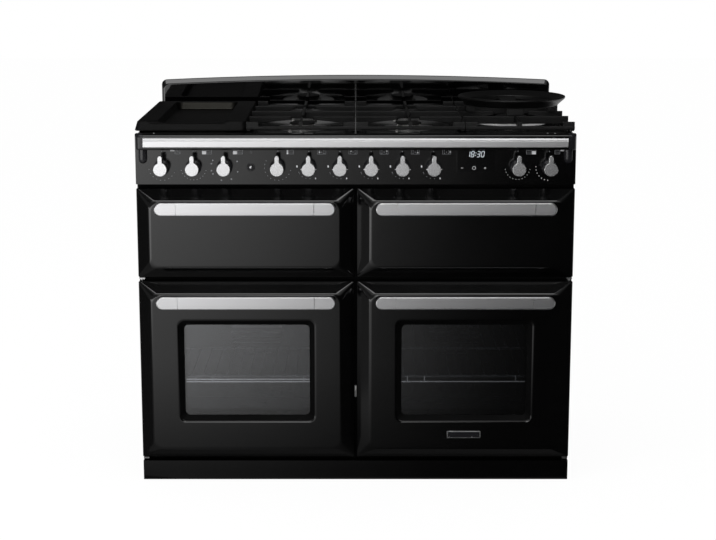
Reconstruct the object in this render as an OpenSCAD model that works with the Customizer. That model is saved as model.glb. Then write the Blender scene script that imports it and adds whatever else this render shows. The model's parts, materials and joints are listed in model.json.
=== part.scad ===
// Dual fuel range cooker, 110 cm class, in millimetres.
// X runs to the right, Y to the back, Z up; the origin is on the floor under the middle.
// Depths called d below are counted from the front of the control panel towards the back.

/* [Overall size] */
// Width over the side panels
cooker_w = 1092; // [1072:2:1112]
// Depth from the control panel's front to the back edge
body_d = 600; // [590:5:640]
// Height of the front rail's top above the floor
hob_h = 897; // [890:1:920]
// Thickness of the cabinet sheet
sheet = 1.5; // [1:0.25:2]

/* [Front stack] */
// Height of the plinth's top above the floor
plinth_h = 53; // [51:1:60]
// Height of the control panel
panel_h = 87; // [84:1:94]
// Height of the front rail
rail_h = 40; // [38:1:44]
// How far the rail stands in front of the panel
rail_out = 15; // [12:1:18]
// Height of the grill and drawer fronts
upper_h = 226; // [216:1:232]
// Gap above and below each front
front_gap = 10; // [9:0.5:12]
// Gap between the left and right fronts
centre_gap = 5; // [4:0.5:8]

/* [Door and drawer fronts] */
// Depth of a front behind the panel plane
front_t = 22; // [20:1:24]
// Gap between a closed front and the frame
frame_gap = 5; // [4.5:0.25:7]
// How far the raised field stands proud
face_rise = 25; // [20:1:28]
// Width of the mitred slope at the sides
slope_w = 34; // [30:1:38]
// Width of the mitred slope at top and bottom
slope_h = 30; // [26:1:32]
// Corner radius of the raised field
face_r = 20; // [14:1:24]
// Thickness of the pressed skin
skin = 2; // [1.5:0.25:2.5]

/* [Oven windows] */
// Width of the glazed opening
glass_w = 316; // [290:2:330]
// Height of the glazed opening
glass_h = 236; // [210:2:250]
// Height of the opening's bottom above the door's bottom
glass_up = 116; // [110:1:120]
// Width of the sloping surround
surround = 15; // [10:1:18]
// Depth of the sloping surround
surround_d = 10; // [7:1:12]
// Thickness of each pane
pane_t = 4; // [3:0.5:5]

/* [Handles] */
// Height of the flat handle bar
handle_h = 33; // [28:1:36]
// Thickness of the handle bar
handle_t = 14; // [10:1:18]
// Finger space behind the bar
handle_gap = 30; // [26:1:36]
// Distance from a front's side edge to the handle's end
handle_inset = 51; // [46:1:60]
// Distance from a front's top edge down to the bar's middle
handle_drop = 42.5; // [38:0.5:60]
// Length of the cast end brackets
bracket_l = 53; // [40:1:70]

/* [Knobs and button] */
// Spacing of neighbouring knobs
knob_pitch = 77.3; // [74:0.1:78]
// Height of the knob axes above the panel's bottom
knob_up = 43; // [40:1:46]
// Radius of the knob's face
knob_r = 17; // [15:0.5:20]
// Length of the lever above the axis
lever_l = 34; // [28:1:36]
// Width of the lever
lever_w = 11.6; // [9:0.2:14]
// How far a knob stands out of the panel
knob_out = 48; // [40:1:54]
// Radius of the spindle
spindle_r = 4; // [3:0.25:5]
// Radius of the push button
button_r = 7; // [5:0.5:8]
// Travel of the push button
button_travel = 3; // [2:0.5:4]

/* [Cavities] */
// Space behind the liners for the fan motors
service_d = 101; // [90:1:115]
// Space between a front's side edge and the cavity
cavity_side = 46; // [42:1:52]
// Space between a door's top or bottom edge and the oven
oven_border = 30; // [28:1:36]
// Space between an upper front's edge and its chamber
chamber_border = 23; // [22:1:26]
// Height of the main shelf level above the oven's floor
shelf_up = 157; // [150:1:170]
// Spacing of the shelf levels
shelf_step = 74; // [66:1:78]
// Radius of the oven fan
fan_r = 80; // [60:1:85]

/* [Hob] */
// Height of the pan supports' top above the rail's top
support_up = 25; // [20:1:28]
// Depth of the hob surface below the rail's top
hob_drop = 5; // [4:0.5:7]
// Front edge of the pan supports behind the panel plane
support_d0 = 26; // [22:1:34]
// Gap between the pan supports and the upstand
support_back = 39; // [29:1:55]
// Width of a support's bars
bar_w = 10; // [8:0.5:13]
// Distance of the burners from their support's front or back edge
burner_in = 134; // [126:1:142]
// Radius of a standard burner's base
burner_r = 38; // [32:1:42]
// Radius of the wok burner's base
wok_burner_r = 60; // [52:1:66]
// Radius of the wok burner's crown
wok_crown_r = 42; // [34:1:48]
// Radius of the bright dish under a standard burner
dish_r = 73; // [60:1:78]
// Radius of the bright dish under the wok burner
wok_dish_r = 94; // [80:1:98]
// Drop of a support's front and back edges below its bars
edge_drop = 10.5; // [8:0.5:11.5]
// Radius of the wok ring's rim
wok_rim_r = 141.5; // [132:0.5:141.5]
// Height of the wok ring
wok_ring_h = 42; // [34:1:48]
// Depth of the griddle's well
griddle_deep = 22; // [16:1:23]
// Height of the upstand's ends above the rail's top
upstand_end = 80.5; // [60:0.5:110]
// Rise of the upstand's curved top edge in the middle
upstand_rise = 12.5; // [6:0.5:30]
// Depth of the upstand
upstand_t = 15; // [12:1:20]

/* [Connections] */
// Radius of the gas inlet's thread
inlet_r = 10.5; // [9:0.25:14]
// Radius of the cable entry
cable_r = 9; // [6:0.5:11]
// Radius of the stability bracket's holes
stability_r = 3.5; // [2.5:0.25:5]

/* [Hidden] */
$fn = 48;
run = 0.3;      // gap between pieces that move past each other
bearing = 0.05; // radial clearance of a shaft in its bore
nip = 0.1;      // gap between a round piece and what it lies on

// Overall places
half_w = cooker_w / 2;
reach = face_rise + handle_gap + handle_t;
front_y = -(body_d - reach) / 2;
inner_w = half_w - sheet;

// Front stack, from the rail down
panel_top = hob_h - rail_h;
panel_bottom = panel_top - panel_h;
upper_top = panel_bottom - front_gap;
upper_bottom = upper_top - upper_h;
door_top = upper_bottom - front_gap;
door_bottom = plinth_h + front_gap;
front_w = half_w - centre_gap / 2;
front_x = centre_gap / 2 + front_w / 2;

// Back panel, set in from the back edge to leave room for the pipe and cable
back_recess = 40;
back_d = body_d - back_recess;

// Frame and cavities
frame_d = front_t + frame_gap;
frame_t = 2;
frame_over = 15;
liner_t = 1.5;
flange = 12;
liner_d = frame_d + frame_t;
cavity_w = front_w - 2 * cavity_side;
oven_z0 = door_bottom + oven_border;
oven_z1 = door_top - oven_border;
chamber_z0 = upper_bottom + chamber_border;
chamber_z1 = upper_top - chamber_border;
rear_d = back_d - service_d;
oven_z = (oven_z0 + oven_z1) / 2;

// Base and feet
base_z = plinth_h - 8;
base_wall = 15;
foot_r = 22;
foot_stem_r = 5;
foot_neck_r = 12;
foot_h = 8;
foot_x = half_w - 60;
foot_d = [frame_d + 60, body_d - 90];

// Hob levels
hob_z = hob_h - hob_drop;
tray_t = 2;
tray_z = hob_z - tray_t;
rail_back = 12;
rest_z = hob_h + support_up;
module_w = cooker_w / 4;
support_w = module_w - 2;
upstand_w = cooker_w - 5;
upstand_d = body_d - upstand_t;
support_d1 = upstand_d - support_back;
front_burner_d = support_d0 + burner_in;
back_burner_d = support_d1 - burner_in;
wok_x = 1.5 * module_w;
wok_d = (support_d0 + support_d1) / 2;
burner_x = module_w / 2;
BURNERS = [[-burner_x, front_burner_d], [-burner_x, back_burner_d], [burner_x, back_burner_d],
  [burner_x, front_burner_d], [wok_x, wok_d]];

// Knobs, counted from the left: pairs of grid steps and kinds
KNOB_STEPS = [-6.21, -5.2, -4.2, -2.5, -1.5, -0.5, 0.5, 1.5, 2.5, 5.2, 6.21];
GAS_KNOBS = [4, 5, 6, 7, 8];
OVEN_KNOBS = [0, 1, 2, 3, 9, 10];
knob_z = panel_bottom + knob_up;
button_x = -3.36 * knob_pitch;
switch_d = 22;
switch_w = 42;
tap_back = 50;
tap_w = 28;
tap_h = 36;
neck_r = 11;
outlet_d = 36;
outlet_r = 7;
outlet_h = 10;
outlet_z = knob_z + tap_h / 2 + outlet_h;
button_out = 4;
button_in = 12;

// Clock window in the panel
clock_x = 3.86 * knob_pitch;
clock_w = 96;
clock_h = 56;
clock_z = panel_top - 1.5 - clock_h / 2;

// Hinge pins of the oven doors
pin_r = 3;
pin_side = 8;
pin_back = 7;
pin_d = front_t - pin_back;
pin_x = half_w - pin_side;
pin_grip = 16;
hinge_arm = 4;

// Runner sections
runner_h = 24;
runner_w = 16;
runner_wall = 2;
slide_h = runner_h - 2 * runner_wall - 2 * run;
slide_x = cavity_w / 2 - runner_wall - run;
slide_w = 20;
grill_runner_up = 60;
proving_runner_up = 90;
grill_runner_z = chamber_z0 + grill_runner_up;
proving_runner_z = chamber_z0 + proving_runner_up;
runner_in = 5;

// Gas pipes
pipe_r = 9;
pipe_d = tap_back + pipe_r + nip;
feed_r = 4;
feed_z = outlet_z + 11;
inlet_x = half_w - 44;
inlet_l = 16;
inlet_d = body_d - inlet_r - 4;
cup_z = tray_z - 24;
cup_r = 22;
dish_t = 0.8;

function fy(d) = front_y + d;
function knob_x(i) = KNOB_STEPS[i] * knob_pitch;

// Shared forms

// Box between two corners, with its depths counted from the panel plane
module block(x0, x1, d0, d1, z0, z1)
  translate([x0, fy(d0), z0]) cube([x1 - x0, d1 - d0, z1 - z0]);

// Flat rectangle with round corners, centred
module round_rect(w, h, r) {
  square([w - 2 * r, h], center = true);
  square([w, h - 2 * r], center = true);
  for (sx = [-1, 1], sy = [-1, 1])
    translate([sx * (w / 2 - r), sy * (h / 2 - r)]) circle(r = r);
}

// Extrudes an upright XZ outline from depth d0 to depth d1
module upright(d0, d1)
  translate([0, fy(d1), 0]) rotate([90, 0, 0]) linear_extrude(d1 - d0) children();

// Upright slab with round corners
module slab(x, z, w, h, r, d0, d1)
  upright(d0, d1) translate([x, z]) round_rect(w, h, r);

// Round bar along Y
module rod_y(x, z, r, d0, d1)
  translate([x, fy(d0), z]) rotate([-90, 0, 0]) cylinder(r = r, h = d1 - d0);

// Round bar along X
module rod_x(x0, x1, d, z, r)
  translate([x0, fy(d), z]) rotate([0, 90, 0]) cylinder(r = r, h = x1 - x0);

// Round bar along Z
module rod_z(x, d, r, z0, z1)
  translate([x, fy(d), z0]) cylinder(r = r, h = z1 - z0);

// Puts a left-hand piece also on the right
module both_sides() {
  children();
  mirror([1, 0, 0]) children();
}

// Cabinet

module chassis_base() color("dimgray") difference() {
  block(-inner_w, inner_w, liner_d, back_d, base_z, base_z + base_wall);
  block(-inner_w + sheet, inner_w - sheet, liner_d + sheet, back_d - sheet,
    base_z + sheet, base_z + base_wall + 1);
  for (sx = [-1, 1], d = foot_d)
    rod_z(sx * foot_x, d, foot_stem_r + nip, base_z - 1, base_z + sheet + 1);
}

module levelling_feet() color("black")
  for (sx = [-1, 1], d = foot_d) {
    rod_z(sx * foot_x, d, foot_r, 0, foot_h);
    rod_z(sx * foot_x, d, foot_neck_r, foot_h, base_z);
    rod_z(sx * foot_x, d, foot_stem_r, base_z - 1, base_z + base_wall);
  }

module plinth() color("black") {
  block(-half_w + 1, half_w - 1, 0, sheet, 3, plinth_h);
  block(-half_w + 1, half_w - 1, 0, frame_d, plinth_h - sheet, plinth_h);
  both_sides() block(-half_w + 1, -half_w + 1 + sheet, 0, frame_d - 1, 3, plinth_h);
}

module side_panel() {
  rear_fold = 20;
  top_fold = 16;
  block(-half_w, -inner_w, frame_d, body_d, base_z, tray_z);
  block(-half_w, -half_w + top_fold, frame_d, body_d, tray_z - sheet, tray_z);
  block(-half_w, -half_w + rear_fold, body_d - sheet, body_d, base_z, tray_z);
}

module side_panels() color("black") both_sides() side_panel();

module back_panel() color("silver") {
  slot_n = 9;
  slot_w = 60;
  difference() {
    block(-inner_w, inner_w, back_d, back_d + sheet, base_z, tray_z - sheet);
    for (i = [0 : slot_n - 1], z = [0 : 2])
      slab((i - (slot_n - 1) / 2) * 95, panel_bottom - 20 + z * 22, slot_w, 8, 3.9,
        back_d - 1, back_d + sheet + 1);
    rod_y(inlet_x, knob_z, pipe_r + 3, back_d - 1, back_d + sheet + 1);
    for (sx = [-1, 1])
      rod_y(sx * stability_x, stability_z, stability_r, back_d - 1, back_d + sheet + 1);
  }
  terminal_cover();
}
stability_x = 200;
stability_up = 50;
stability_z = base_z + stability_up;

// Box over the mains terminals, with a gland for the cable in its underside
terminal_x = -half_w + 150;
terminal_z = 230;
terminal_w = 120;
terminal_h = 90;
terminal_out = 32;
gland_l = 14;
module terminal_cover() {
  gland_d = back_d + sheet + terminal_out / 2;
  difference() {
    union() {
      block(terminal_x - terminal_w / 2, terminal_x + terminal_w / 2, back_d + sheet + nip,
        back_d + sheet + terminal_out, terminal_z, terminal_z + terminal_h);
      rod_z(terminal_x, gland_d, cable_r + 3, terminal_z - gland_l + 2, terminal_z + 1);
    }
    block(terminal_x - terminal_w / 2 + 2, terminal_x + terminal_w / 2 - 2, back_d + sheet - 1,
      back_d + sheet + terminal_out - 2, terminal_z + 2, terminal_z + terminal_h - 2);
    rod_z(terminal_x, gland_d, cable_r, terminal_z - gland_l + 1, terminal_z + 3);
  }
}

// Plate behind the fronts, with the mouths of the ovens and the chambers
module front_frame() color("black") {
  difference() {
    block(-inner_w, inner_w, frame_d, liner_d, base_z, panel_bottom + frame_over);
    for (sx = [-1, 1]) {
      cavity_mouth(sx * front_x, oven_z0, oven_z1);
      cavity_mouth(sx * front_x, chamber_z0, chamber_z1);
    }
  }
}

module cavity_mouth(x, z0, z1)
  slab(x, (z0 + z1) / 2, cavity_w, z1 - z0, 12, frame_d - 1, liner_d + 1);

// Enamelled box, open at the front, with a flange against the frame
module liner(x, z0, z1) {
  z = (z0 + z1) / 2;
  h = z1 - z0;
  difference() {
    union() {
      slab(x, z, cavity_w + 2 * liner_t, h + 2 * liner_t, 12 + liner_t, liner_d, rear_d + liner_t);
      slab(x, z, cavity_w + 2 * flange, h + 2 * flange, 14, liner_d, liner_d + liner_t);
    }
    slab(x, z, cavity_w, h, 12, liner_d - 1, rear_d);
  }
}

module oven_liners() color("dimgray")
  for (sx = [-1, 1]) difference() {
    liner(sx * front_x, oven_z0, oven_z1);
    rod_y(sx * front_x, oven_z, 12, rear_d - 1, rear_d + liner_t + 1);
  }

module upper_liners() color("dimgray")
  for (sx = [-1, 1]) liner(sx * front_x, chamber_z0, chamber_z1);

// Side racks of bent wire: at each level one wire carries the shelf and one guides it
rack_d0 = liner_d + 45;
rack_d1 = rear_d - 70;
rack_levels = 4;
rack_wire = 2.5;
rack_guide = 18;
rack_x = cavity_w / 2 - 7;
function level_z(i) = oven_z0 + shelf_up + (i - 1) * shelf_step;

module side_rack() {
  post_x = cavity_w / 2 - 3;
  for (d = [rack_d0 + 20, rack_d1 - 20])
    rod_z(post_x, d, 3, level_z(0) - 20, level_z(rack_levels - 1) + rack_guide + 20);
  for (i = [0 : rack_levels - 1], up = [0, rack_guide])
    rod_y(rack_x, level_z(i) + up, rack_wire, rack_d0, rack_d1);
}

module shelf_supports() color("silver")
  for (ox = [-front_x, front_x]) translate([ox, 0, 0]) both_sides() side_rack();

// Wire shelf, which lies on the side racks with its front and back rods
shelf_rod = 3.5;
module wire_shelf(x, level) {
  wire = 1.8;
  side = rack_x - rack_wire - shelf_rod - 2;
  ends = rack_x + 2;
  wires = 13;
  z = level_z(level) + rack_wire + shelf_rod + nip;
  translate([x, 0, 0]) {
    for (d = [rack_d0 + 10, rack_d1 - 10]) rod_x(-ends, ends, d, z, shelf_rod);
    for (sx = [-1, 1]) rod_y(sx * side, z, shelf_rod - 0.5, rack_d0 + 10, rack_d1 - 10);
    for (i = [1 : wires]) rod_y(-side + i * 2 * side / (wires + 1), z + 2.2, wire,
      rack_d0 + 10, rack_d1 - 10);
  }
}

module oven_shelves() color("silver") {
  wire_shelf(-front_x, 1);
  wire_shelf(front_x, 1);
  wire_shelf(front_x, 2);
}

// Baffle in front of each fan, with a slotted grille, on four spacers
cover_gap = 46;
cover_d = rear_d - cover_gap;
module fan_cover(x) {
  cover_side = 75;
  cover_h = 270;
  cover_w = cavity_w - 2 * cover_side;
  grille_r = 72;
  slots = 9;
  slot_step = 15;
  slot_h = 7;
  spacer_in = 18;
  spacer_r = 6;
  difference() {
    slab(x, oven_z, cover_w, cover_h, 24, cover_d, cover_d + liner_t);
    for (i = [0 : slots - 1]) {
      dz = (i - (slots - 1) / 2) * slot_step;
      slab(x, oven_z + dz, 2 * sqrt(grille_r * grille_r - dz * dz), slot_h, 0.48 * slot_h,
        cover_d - 1, cover_d + liner_t + 1);
    }
  }
  for (sx = [-1, 1], sz = [-1, 1])
    rod_y(x + sx * (cover_w / 2 - spacer_in), oven_z + sz * (cover_h / 2 - spacer_in), spacer_r,
      cover_d + liner_t, rear_d);
}

module fan_covers() color("gray") for (sx = [-1, 1]) fan_cover(sx * front_x);

// Motors behind the ovens, which carry the fan shafts
motor_r = 38;
motor_l = 46;
motor_flange = 54;
shaft_r = 4;
shaft_in = 22;
module fan_motors() color("gray")
  for (sx = [-1, 1]) difference() {
    union() {
      rod_y(sx * front_x, oven_z, motor_flange, rear_d + liner_t, rear_d + liner_t + 3);
      rod_y(sx * front_x, oven_z, motor_r, rear_d + liner_t + 2, rear_d + liner_t + 2 + motor_l);
    }
    rod_y(sx * front_x, oven_z, shaft_r + bearing, rear_d, rear_d + liner_t + shaft_in + 2);
  }

// Backward-curved oven fan with its shaft
fan_t = 18;
module fan(x) {
  blades = 12;
  disc_d = rear_d - 8;
  rod_y(x, oven_z, fan_r, disc_d - 1.5, disc_d);
  rod_y(x, oven_z, 14, disc_d - fan_t, disc_d);
  rod_y(x, oven_z, shaft_r, disc_d - fan_t - 4, rear_d + liner_t + shaft_in);
  for (i = [0 : blades - 1])
    translate([x, fy(disc_d - fan_t), oven_z]) rotate([0, i * 360 / blades, 0])
      translate([fan_r - 18, 0, 0]) rotate([0, 35, 0])
        translate([-16, 0, -0.75]) cube([32, fan_t - 1, 1.5]);
}

module fan_left() color("silver") fan(-front_x);
module fan_right() color("silver") fan(front_x);

// Sheathed elements: a ring round each fan, a folded one over the grill, a plate under the griddle
element_r = 3.5;
module ring_element(x) {
  ring_r = fan_r + 14;
  ring_d = rear_d - 20;
  translate([x, fy(ring_d), oven_z]) rotate([-90, 0, 0])
    rotate_extrude() translate([ring_r, 0]) circle(r = element_r);
  for (sx = [-1, 1]) rod_y(x + sx * 14, oven_z + sqrt(ring_r * ring_r - 196),
    element_r + 0.6, ring_d, rear_d);
}

module grill_element() {
  passes = 6;
  pitch = 56;
  z = chamber_z1 - 14;
  d0 = liner_d + 60;
  d1 = rear_d - 90;
  for (i = [0 : passes - 1]) {
    x = -front_x + (i - (passes - 1) / 2) * pitch;
    turn_d = i % 2 == 0 ? d0 : d1;
    rod_y(x, z, element_r, d0, i == 0 || i == passes - 1 ? rear_d : d1);
    for (d = [d0, d1]) translate([x, fy(d), z]) sphere(r = element_r + 0.5);
    if (i < passes - 1) rod_x(x, x + pitch, turn_d, z, element_r);
  }
}

module heating_elements() color("dimgray") {
  for (sx = [-1, 1]) ring_element(sx * front_x);
  grill_element();
  rod_z(-wok_x, wok_d, 85, tray_z - 12, tray_z);
}

// Woven seals round the oven mouths
module door_seals() color("gray")
  for (sx = [-1, 1]) difference() {
    seal_w = 10;
    slab(sx * front_x, oven_z, cavity_w + 2 * seal_w + 8, oven_z1 - oven_z0 + 2 * seal_w + 8, 20,
      front_t + run, frame_d);
    slab(sx * front_x, oven_z, cavity_w + 8, oven_z1 - oven_z0 + 8, 12, front_t - 1, frame_d + 1);
  }

// Brackets and pins that carry the doors, and the catches that hold them shut
module door_hinges() color("silver") {
  both_sides() {
    hinge_bracket(door_top + front_gap / 2, -1);
    hinge_bracket(door_bottom - front_gap / 2, 1);
  }
  catch_z = door_bottom + 168;
  slab(0, catch_z, 40, 30, 3, frame_d - 1.5, frame_d);
  block(-1.5, 1.5, front_t - 10, frame_d - 1.5, catch_z - 8, catch_z + 8);
}

// Arm from the frame over or under a door's edge, with a pin into the door
module hinge_bracket(z, way) {
  arm_w = 14;
  block(-pin_x - arm_w / 2, -pin_x + arm_w / 2, pin_d - 6, frame_d, z - hinge_arm / 2, z + hinge_arm / 2);
  edge_z = z + way * front_gap / 2;
  rod_z(-pin_x, pin_d, pin_r, min(z, edge_z + way * pin_grip), max(z, edge_z + way * pin_grip));
}

// Fixed channels on the chamber walls
module drawer_runners() color("silver") {
  runner_pair(-front_x, grill_runner_z);
  runner_pair(front_x, proving_runner_z);
}

module runner_pair(x, z)
  translate([x, 0, 0]) both_sides() difference() {
    block(-cavity_w / 2, -cavity_w / 2 + runner_w, liner_d + runner_in, rear_d,
      z - runner_h / 2, z + runner_h / 2);
    block(-cavity_w / 2 + runner_wall, -cavity_w / 2 + runner_w + 1, liner_d + runner_in - 1,
      rear_d - 2,
      z - runner_h / 2 + runner_wall, z + runner_h / 2 - runner_wall);
  }

// Moving member of a runner, on a drawer's side
module slide_bar(z)
  block(-slide_x, -slide_x + slide_w, front_t, rear_d - 6, z - slide_h / 2, z + slide_h / 2);

// Control panel and rail

module control_panel() color("black") {
  difference() {
    union() {
      block(-half_w, half_w, 0, sheet, panel_bottom, panel_top);
      block(-half_w, half_w, 0, frame_d, panel_bottom, panel_bottom + sheet);
      block(-half_w, half_w, 0, frame_d, panel_top - sheet, panel_top);
      both_sides() block(-half_w, -inner_w, 0, frame_d, panel_bottom, panel_top);
    }
    for (i = [0 : 10]) rod_y(knob_x(i), knob_z, spindle_r + 2, -1, sheet + 1);
    rod_y(button_x, knob_z, button_r + run, -1, sheet + 1);
    slab(clock_x, clock_z, clock_w, clock_h, 2, -1, sheet + 1);
  }
}

module clock_display() color("black") {
  slab(clock_x, clock_z, clock_w - 0.2, clock_h - 0.2, 2, -1, sheet);
  block(clock_x - clock_w / 2 - 4, clock_x + clock_w / 2 + 4, sheet, 20,
    clock_z - clock_h / 2 - 4, min(clock_z + clock_h / 2 + 4, panel_top - sheet));
}

// Rail section in depth and height, with its round nose
nose_r = 8;
module rail_section(grow) {
  polygon(concat(
    [[rail_back - grow, panel_top + grow], [-rail_out + 4, panel_top + grow],
     [-rail_out + grow, panel_top + 4]],
    [for (a = [180 : -15 : 90]) [-rail_out + nose_r + (nose_r - grow) * cos(a),
      hob_h - nose_r + (nose_r - grow) * sin(a)]],
    [[rail_back - grow, hob_h - grow]]));
}

// Extrudes a section given in depth and height along X
module along_x(x0, x1)
  translate([x0, fy(0), 0]) rotate([90, 0, 90]) linear_extrude(x1 - x0) children();

cap_w = 21;
module front_rail() color("black") {
  difference() {
    along_x(-half_w + cap_w, half_w - cap_w) rail_section(0);
    along_x(-half_w + cap_w - 1, half_w - cap_w + 1) rail_section(sheet);
  }
  both_sides() rail_end_cap();
}

// Moulded end of the rail, with a tongue that lies on the panel
module rail_end_cap() {
  corner_r = 14;
  tongue_w = 22;
  tongue_l = 35;
  tongue_x = -half_w + 19;
  intersection() {
    along_x(-half_w, -half_w + cap_w - nip) rail_section(0);
    translate([0, 0, panel_top - 1]) linear_extrude(rail_h + 2) union() {
      translate([-half_w + corner_r, fy(-rail_out + corner_r)]) circle(r = corner_r);
      translate([-half_w + corner_r, fy(-rail_out)]) square([cap_w, rail_out + rail_back]);
      translate([-half_w, fy(-rail_out + corner_r)]) square([cap_w, rail_out + rail_back - corner_r]);
    }
  }
  upright(-4, 0) {
    translate([tongue_x, panel_top - tongue_l + tongue_w / 2]) circle(r = tongue_w / 2);
    translate([tongue_x - tongue_w / 2, panel_top - tongue_l + tongue_w / 2])
      square([tongue_w, tongue_l - tongue_w / 2]);
  }
}

module rail_strip() color("silver") {
  strip_t = 3;
  z0 = panel_top + 7;
  z1 = hob_h - nose_r - 2.5;
  along_x(-half_w + cap_w + 0.5, half_w - cap_w - 0.5)
    polygon([[-rail_out, z0], [-rail_out - strip_t, z0 + 1], [-rail_out - strip_t, z1 - 6],
      [-rail_out - 0.8, z1], [-rail_out, z1]]);
}

// Gas taps on the gas rail, each with a bored neck behind the panel
module gas_taps() color("goldenrod")
  for (i = GAS_KNOBS) difference() {
    union() {
      rod_y(knob_x(i), knob_z, neck_r, sheet, switch_d);
      block(knob_x(i) - tap_w / 2, knob_x(i) + tap_w / 2, switch_d, tap_back,
        knob_z - tap_h / 2, knob_z + tap_h / 2);
      rod_z(knob_x(i), outlet_d, outlet_r, knob_z + tap_h / 2, outlet_z);
    }
    spindle_bore(i);
  }

module spindle_bore(i) rod_y(knob_x(i), knob_z, spindle_r + bearing, sheet - 1, switch_d + 8);

// Rotary switches and thermostats of the ovens, grill and griddle, and the button's housing
module oven_controls() color("ivory") {
  for (i = OVEN_KNOBS) difference() {
    union() {
      rod_y(knob_x(i), knob_z, neck_r, sheet, switch_d);
      block(knob_x(i) - switch_w / 2, knob_x(i) + switch_w / 2, switch_d, tap_back - 2,
        knob_z - switch_w / 2, knob_z + switch_w / 2);
    }
    spindle_bore(i);
  }
  difference() {
    rod_y(button_x, knob_z, button_r + 5, sheet, button_in + button_travel + 13);
    rod_y(button_x, knob_z, button_r + bearing, sheet - 1, button_in + button_travel + 1);
  }
}

module light_button() color("black") 
  rod_y(button_x, knob_z, button_r, -button_out, button_in);

// Knob: skirt, keyhole-shaped face with its lever, and the spindle into the tap
face_t = 12;
module knob(i) color("silver") {
  x = knob_x(i);
  body_d1 = -knob_out + face_t;
  translate([x, fy(-run), knob_z]) rotate([90, 0, 0]) rotate_extrude()
    polygon([[0, 0], [knob_r + 2.5, 0], [knob_r + 2.5, 2], [knob_r - 1, 5],
      [knob_r - 3, knob_out - face_t], [0, knob_out - face_t]]);
  upright(-knob_out, body_d1) translate([x, knob_z]) {
    circle(r = knob_r);
    translate([-lever_w / 2, 0]) square([lever_w, lever_l - lever_w / 2]);
    translate([0, lever_l - lever_w / 2]) circle(r = lever_w / 2);
  }
  rod_y(x, knob_z, spindle_r, -1, switch_d + 7);
}

module knob_1() knob(0);
module knob_2() knob(1);
module knob_3() knob(2);
module knob_4() knob(3);
module knob_5() knob(4);
module knob_6() knob(5);
module knob_7() knob(6);
module knob_8() knob(7);
module knob_9() knob(8);
module knob_10() knob(9);
module knob_11() knob(10);

// Gas rail along the taps, back to the inlet, with a feed pipe to each burner
module gas_rail() color("goldenrod") {
  rod_x(knob_x(4) - 24, inlet_x, pipe_d, knob_z, pipe_r);
  translate([inlet_x, fy(pipe_d), knob_z]) sphere(r = pipe_r + 1);
  rod_y(inlet_x, knob_z, pipe_r, pipe_d, inlet_d);
  translate([inlet_x, fy(inlet_d), knob_z]) sphere(r = inlet_r + 2);
  rod_z(inlet_x, inlet_d, inlet_r + 2, knob_z - 20, knob_z);
  rod_z(inlet_x, inlet_d, inlet_r, knob_z - 20 - inlet_l, knob_z - 19);
  for (k = [0 : 4]) feed_pipe(knob_x(GAS_KNOBS[k]), BURNERS[k][0], BURNERS[k][1]);
}

module feed_pipe(x, bx, bd) {
  rod_z(x, outlet_d, feed_r, outlet_z, feed_z);
  translate([x, fy(outlet_d), feed_z]) sphere(r = feed_r + 0.6);
  rod_y(x, feed_z, feed_r, outlet_d, bd);
  translate([x, fy(bd), feed_z]) sphere(r = feed_r + 0.6);
  rod_x(min(x, bx), max(x, bx), bd, feed_z, feed_r);
  translate([bx, fy(bd), feed_z]) sphere(r = feed_r + 0.6);
  rod_z(bx, bd, feed_r, feed_z, cup_z);
}

// Hob

module hob_tray() color("black") {
  tray_w = cooker_w - 12;
  tray_r = 16;
  rim = 3;
  mid = (rail_back + upstand_d) / 2;
  deep = upstand_d - rail_back;
  difference() {
    translate([0, fy(mid), tray_z]) linear_extrude(tray_t + hob_drop) round_rect(tray_w, deep, tray_r);
    translate([0, fy(mid), hob_z]) linear_extrude(hob_drop + 1)
      round_rect(tray_w - 2 * rim, deep - 2 * rim, tray_r - rim);
    for (b = BURNERS) rod_z(b[0], b[1], cup_r + 1, tray_z - 1, hob_z + 1);
  }
}

// Burner: cup under the tray, bright dish and base, crown with flame ports, and an igniter
base_t = 3;
crown_h = 8;
wok_crown_h = 12;
crown_z = hob_z + base_t;
dish_z = hob_z + dish_t;
module burner(x, d, base_r, dish_r, crown_r, crown_h) {
  ports = 20;
  port_w = 1.8;
  port_h = 4;
  top = crown_z + crown_h;
  difference() {
    union() {
      rod_z(x, d, cup_r, cup_z, hob_z + 1);
      rod_z(x, d, dish_r, hob_z, dish_z);
      rod_z(x, d, base_r, hob_z, crown_z);
      rod_z(x, d, crown_r, crown_z - 1, top);
    }
    for (i = [0 : ports - 1])
      translate([x, fy(d), top + 1 - port_h]) rotate([0, 0, i * 360 / ports])
        translate([crown_r - 5, -port_w / 2, 0]) cube([6, port_w, port_h]);
  }
  translate([x, fy(d), 0]) rotate([0, 0, 225]) translate([base_r + 7, 0, 0]) {
    translate([0, 0, hob_z]) cylinder(r = 4, h = 4);
    translate([0, 0, hob_z + 3]) cylinder(r = 2, h = 8);
  }
}

module burner_bases() color("silver") {
  for (k = [0 : 3])
    burner(BURNERS[k][0], BURNERS[k][1], burner_r, dish_r, burner_r - 7, crown_h);
  burner(BURNERS[4][0], BURNERS[4][1], wok_burner_r, wok_dish_r, wok_crown_r, wok_crown_h);
}

module burner_cap(x, d, r, z)
  translate([x, fy(d), z]) rotate_extrude()
    polygon([[0, 0], [r - 1, 0], [r, 1.2], [r - 0.6, 3], [r - 3, 4.4], [0, 5.4]]);

module burner_caps() color("black") {
  for (k = [0 : 3]) burner_cap(BURNERS[k][0], BURNERS[k][1], burner_r - 5, crown_z + crown_h);
  burner_cap(BURNERS[4][0], BURNERS[4][1], wok_crown_r - 1, crown_z + wok_crown_h);
}

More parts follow.
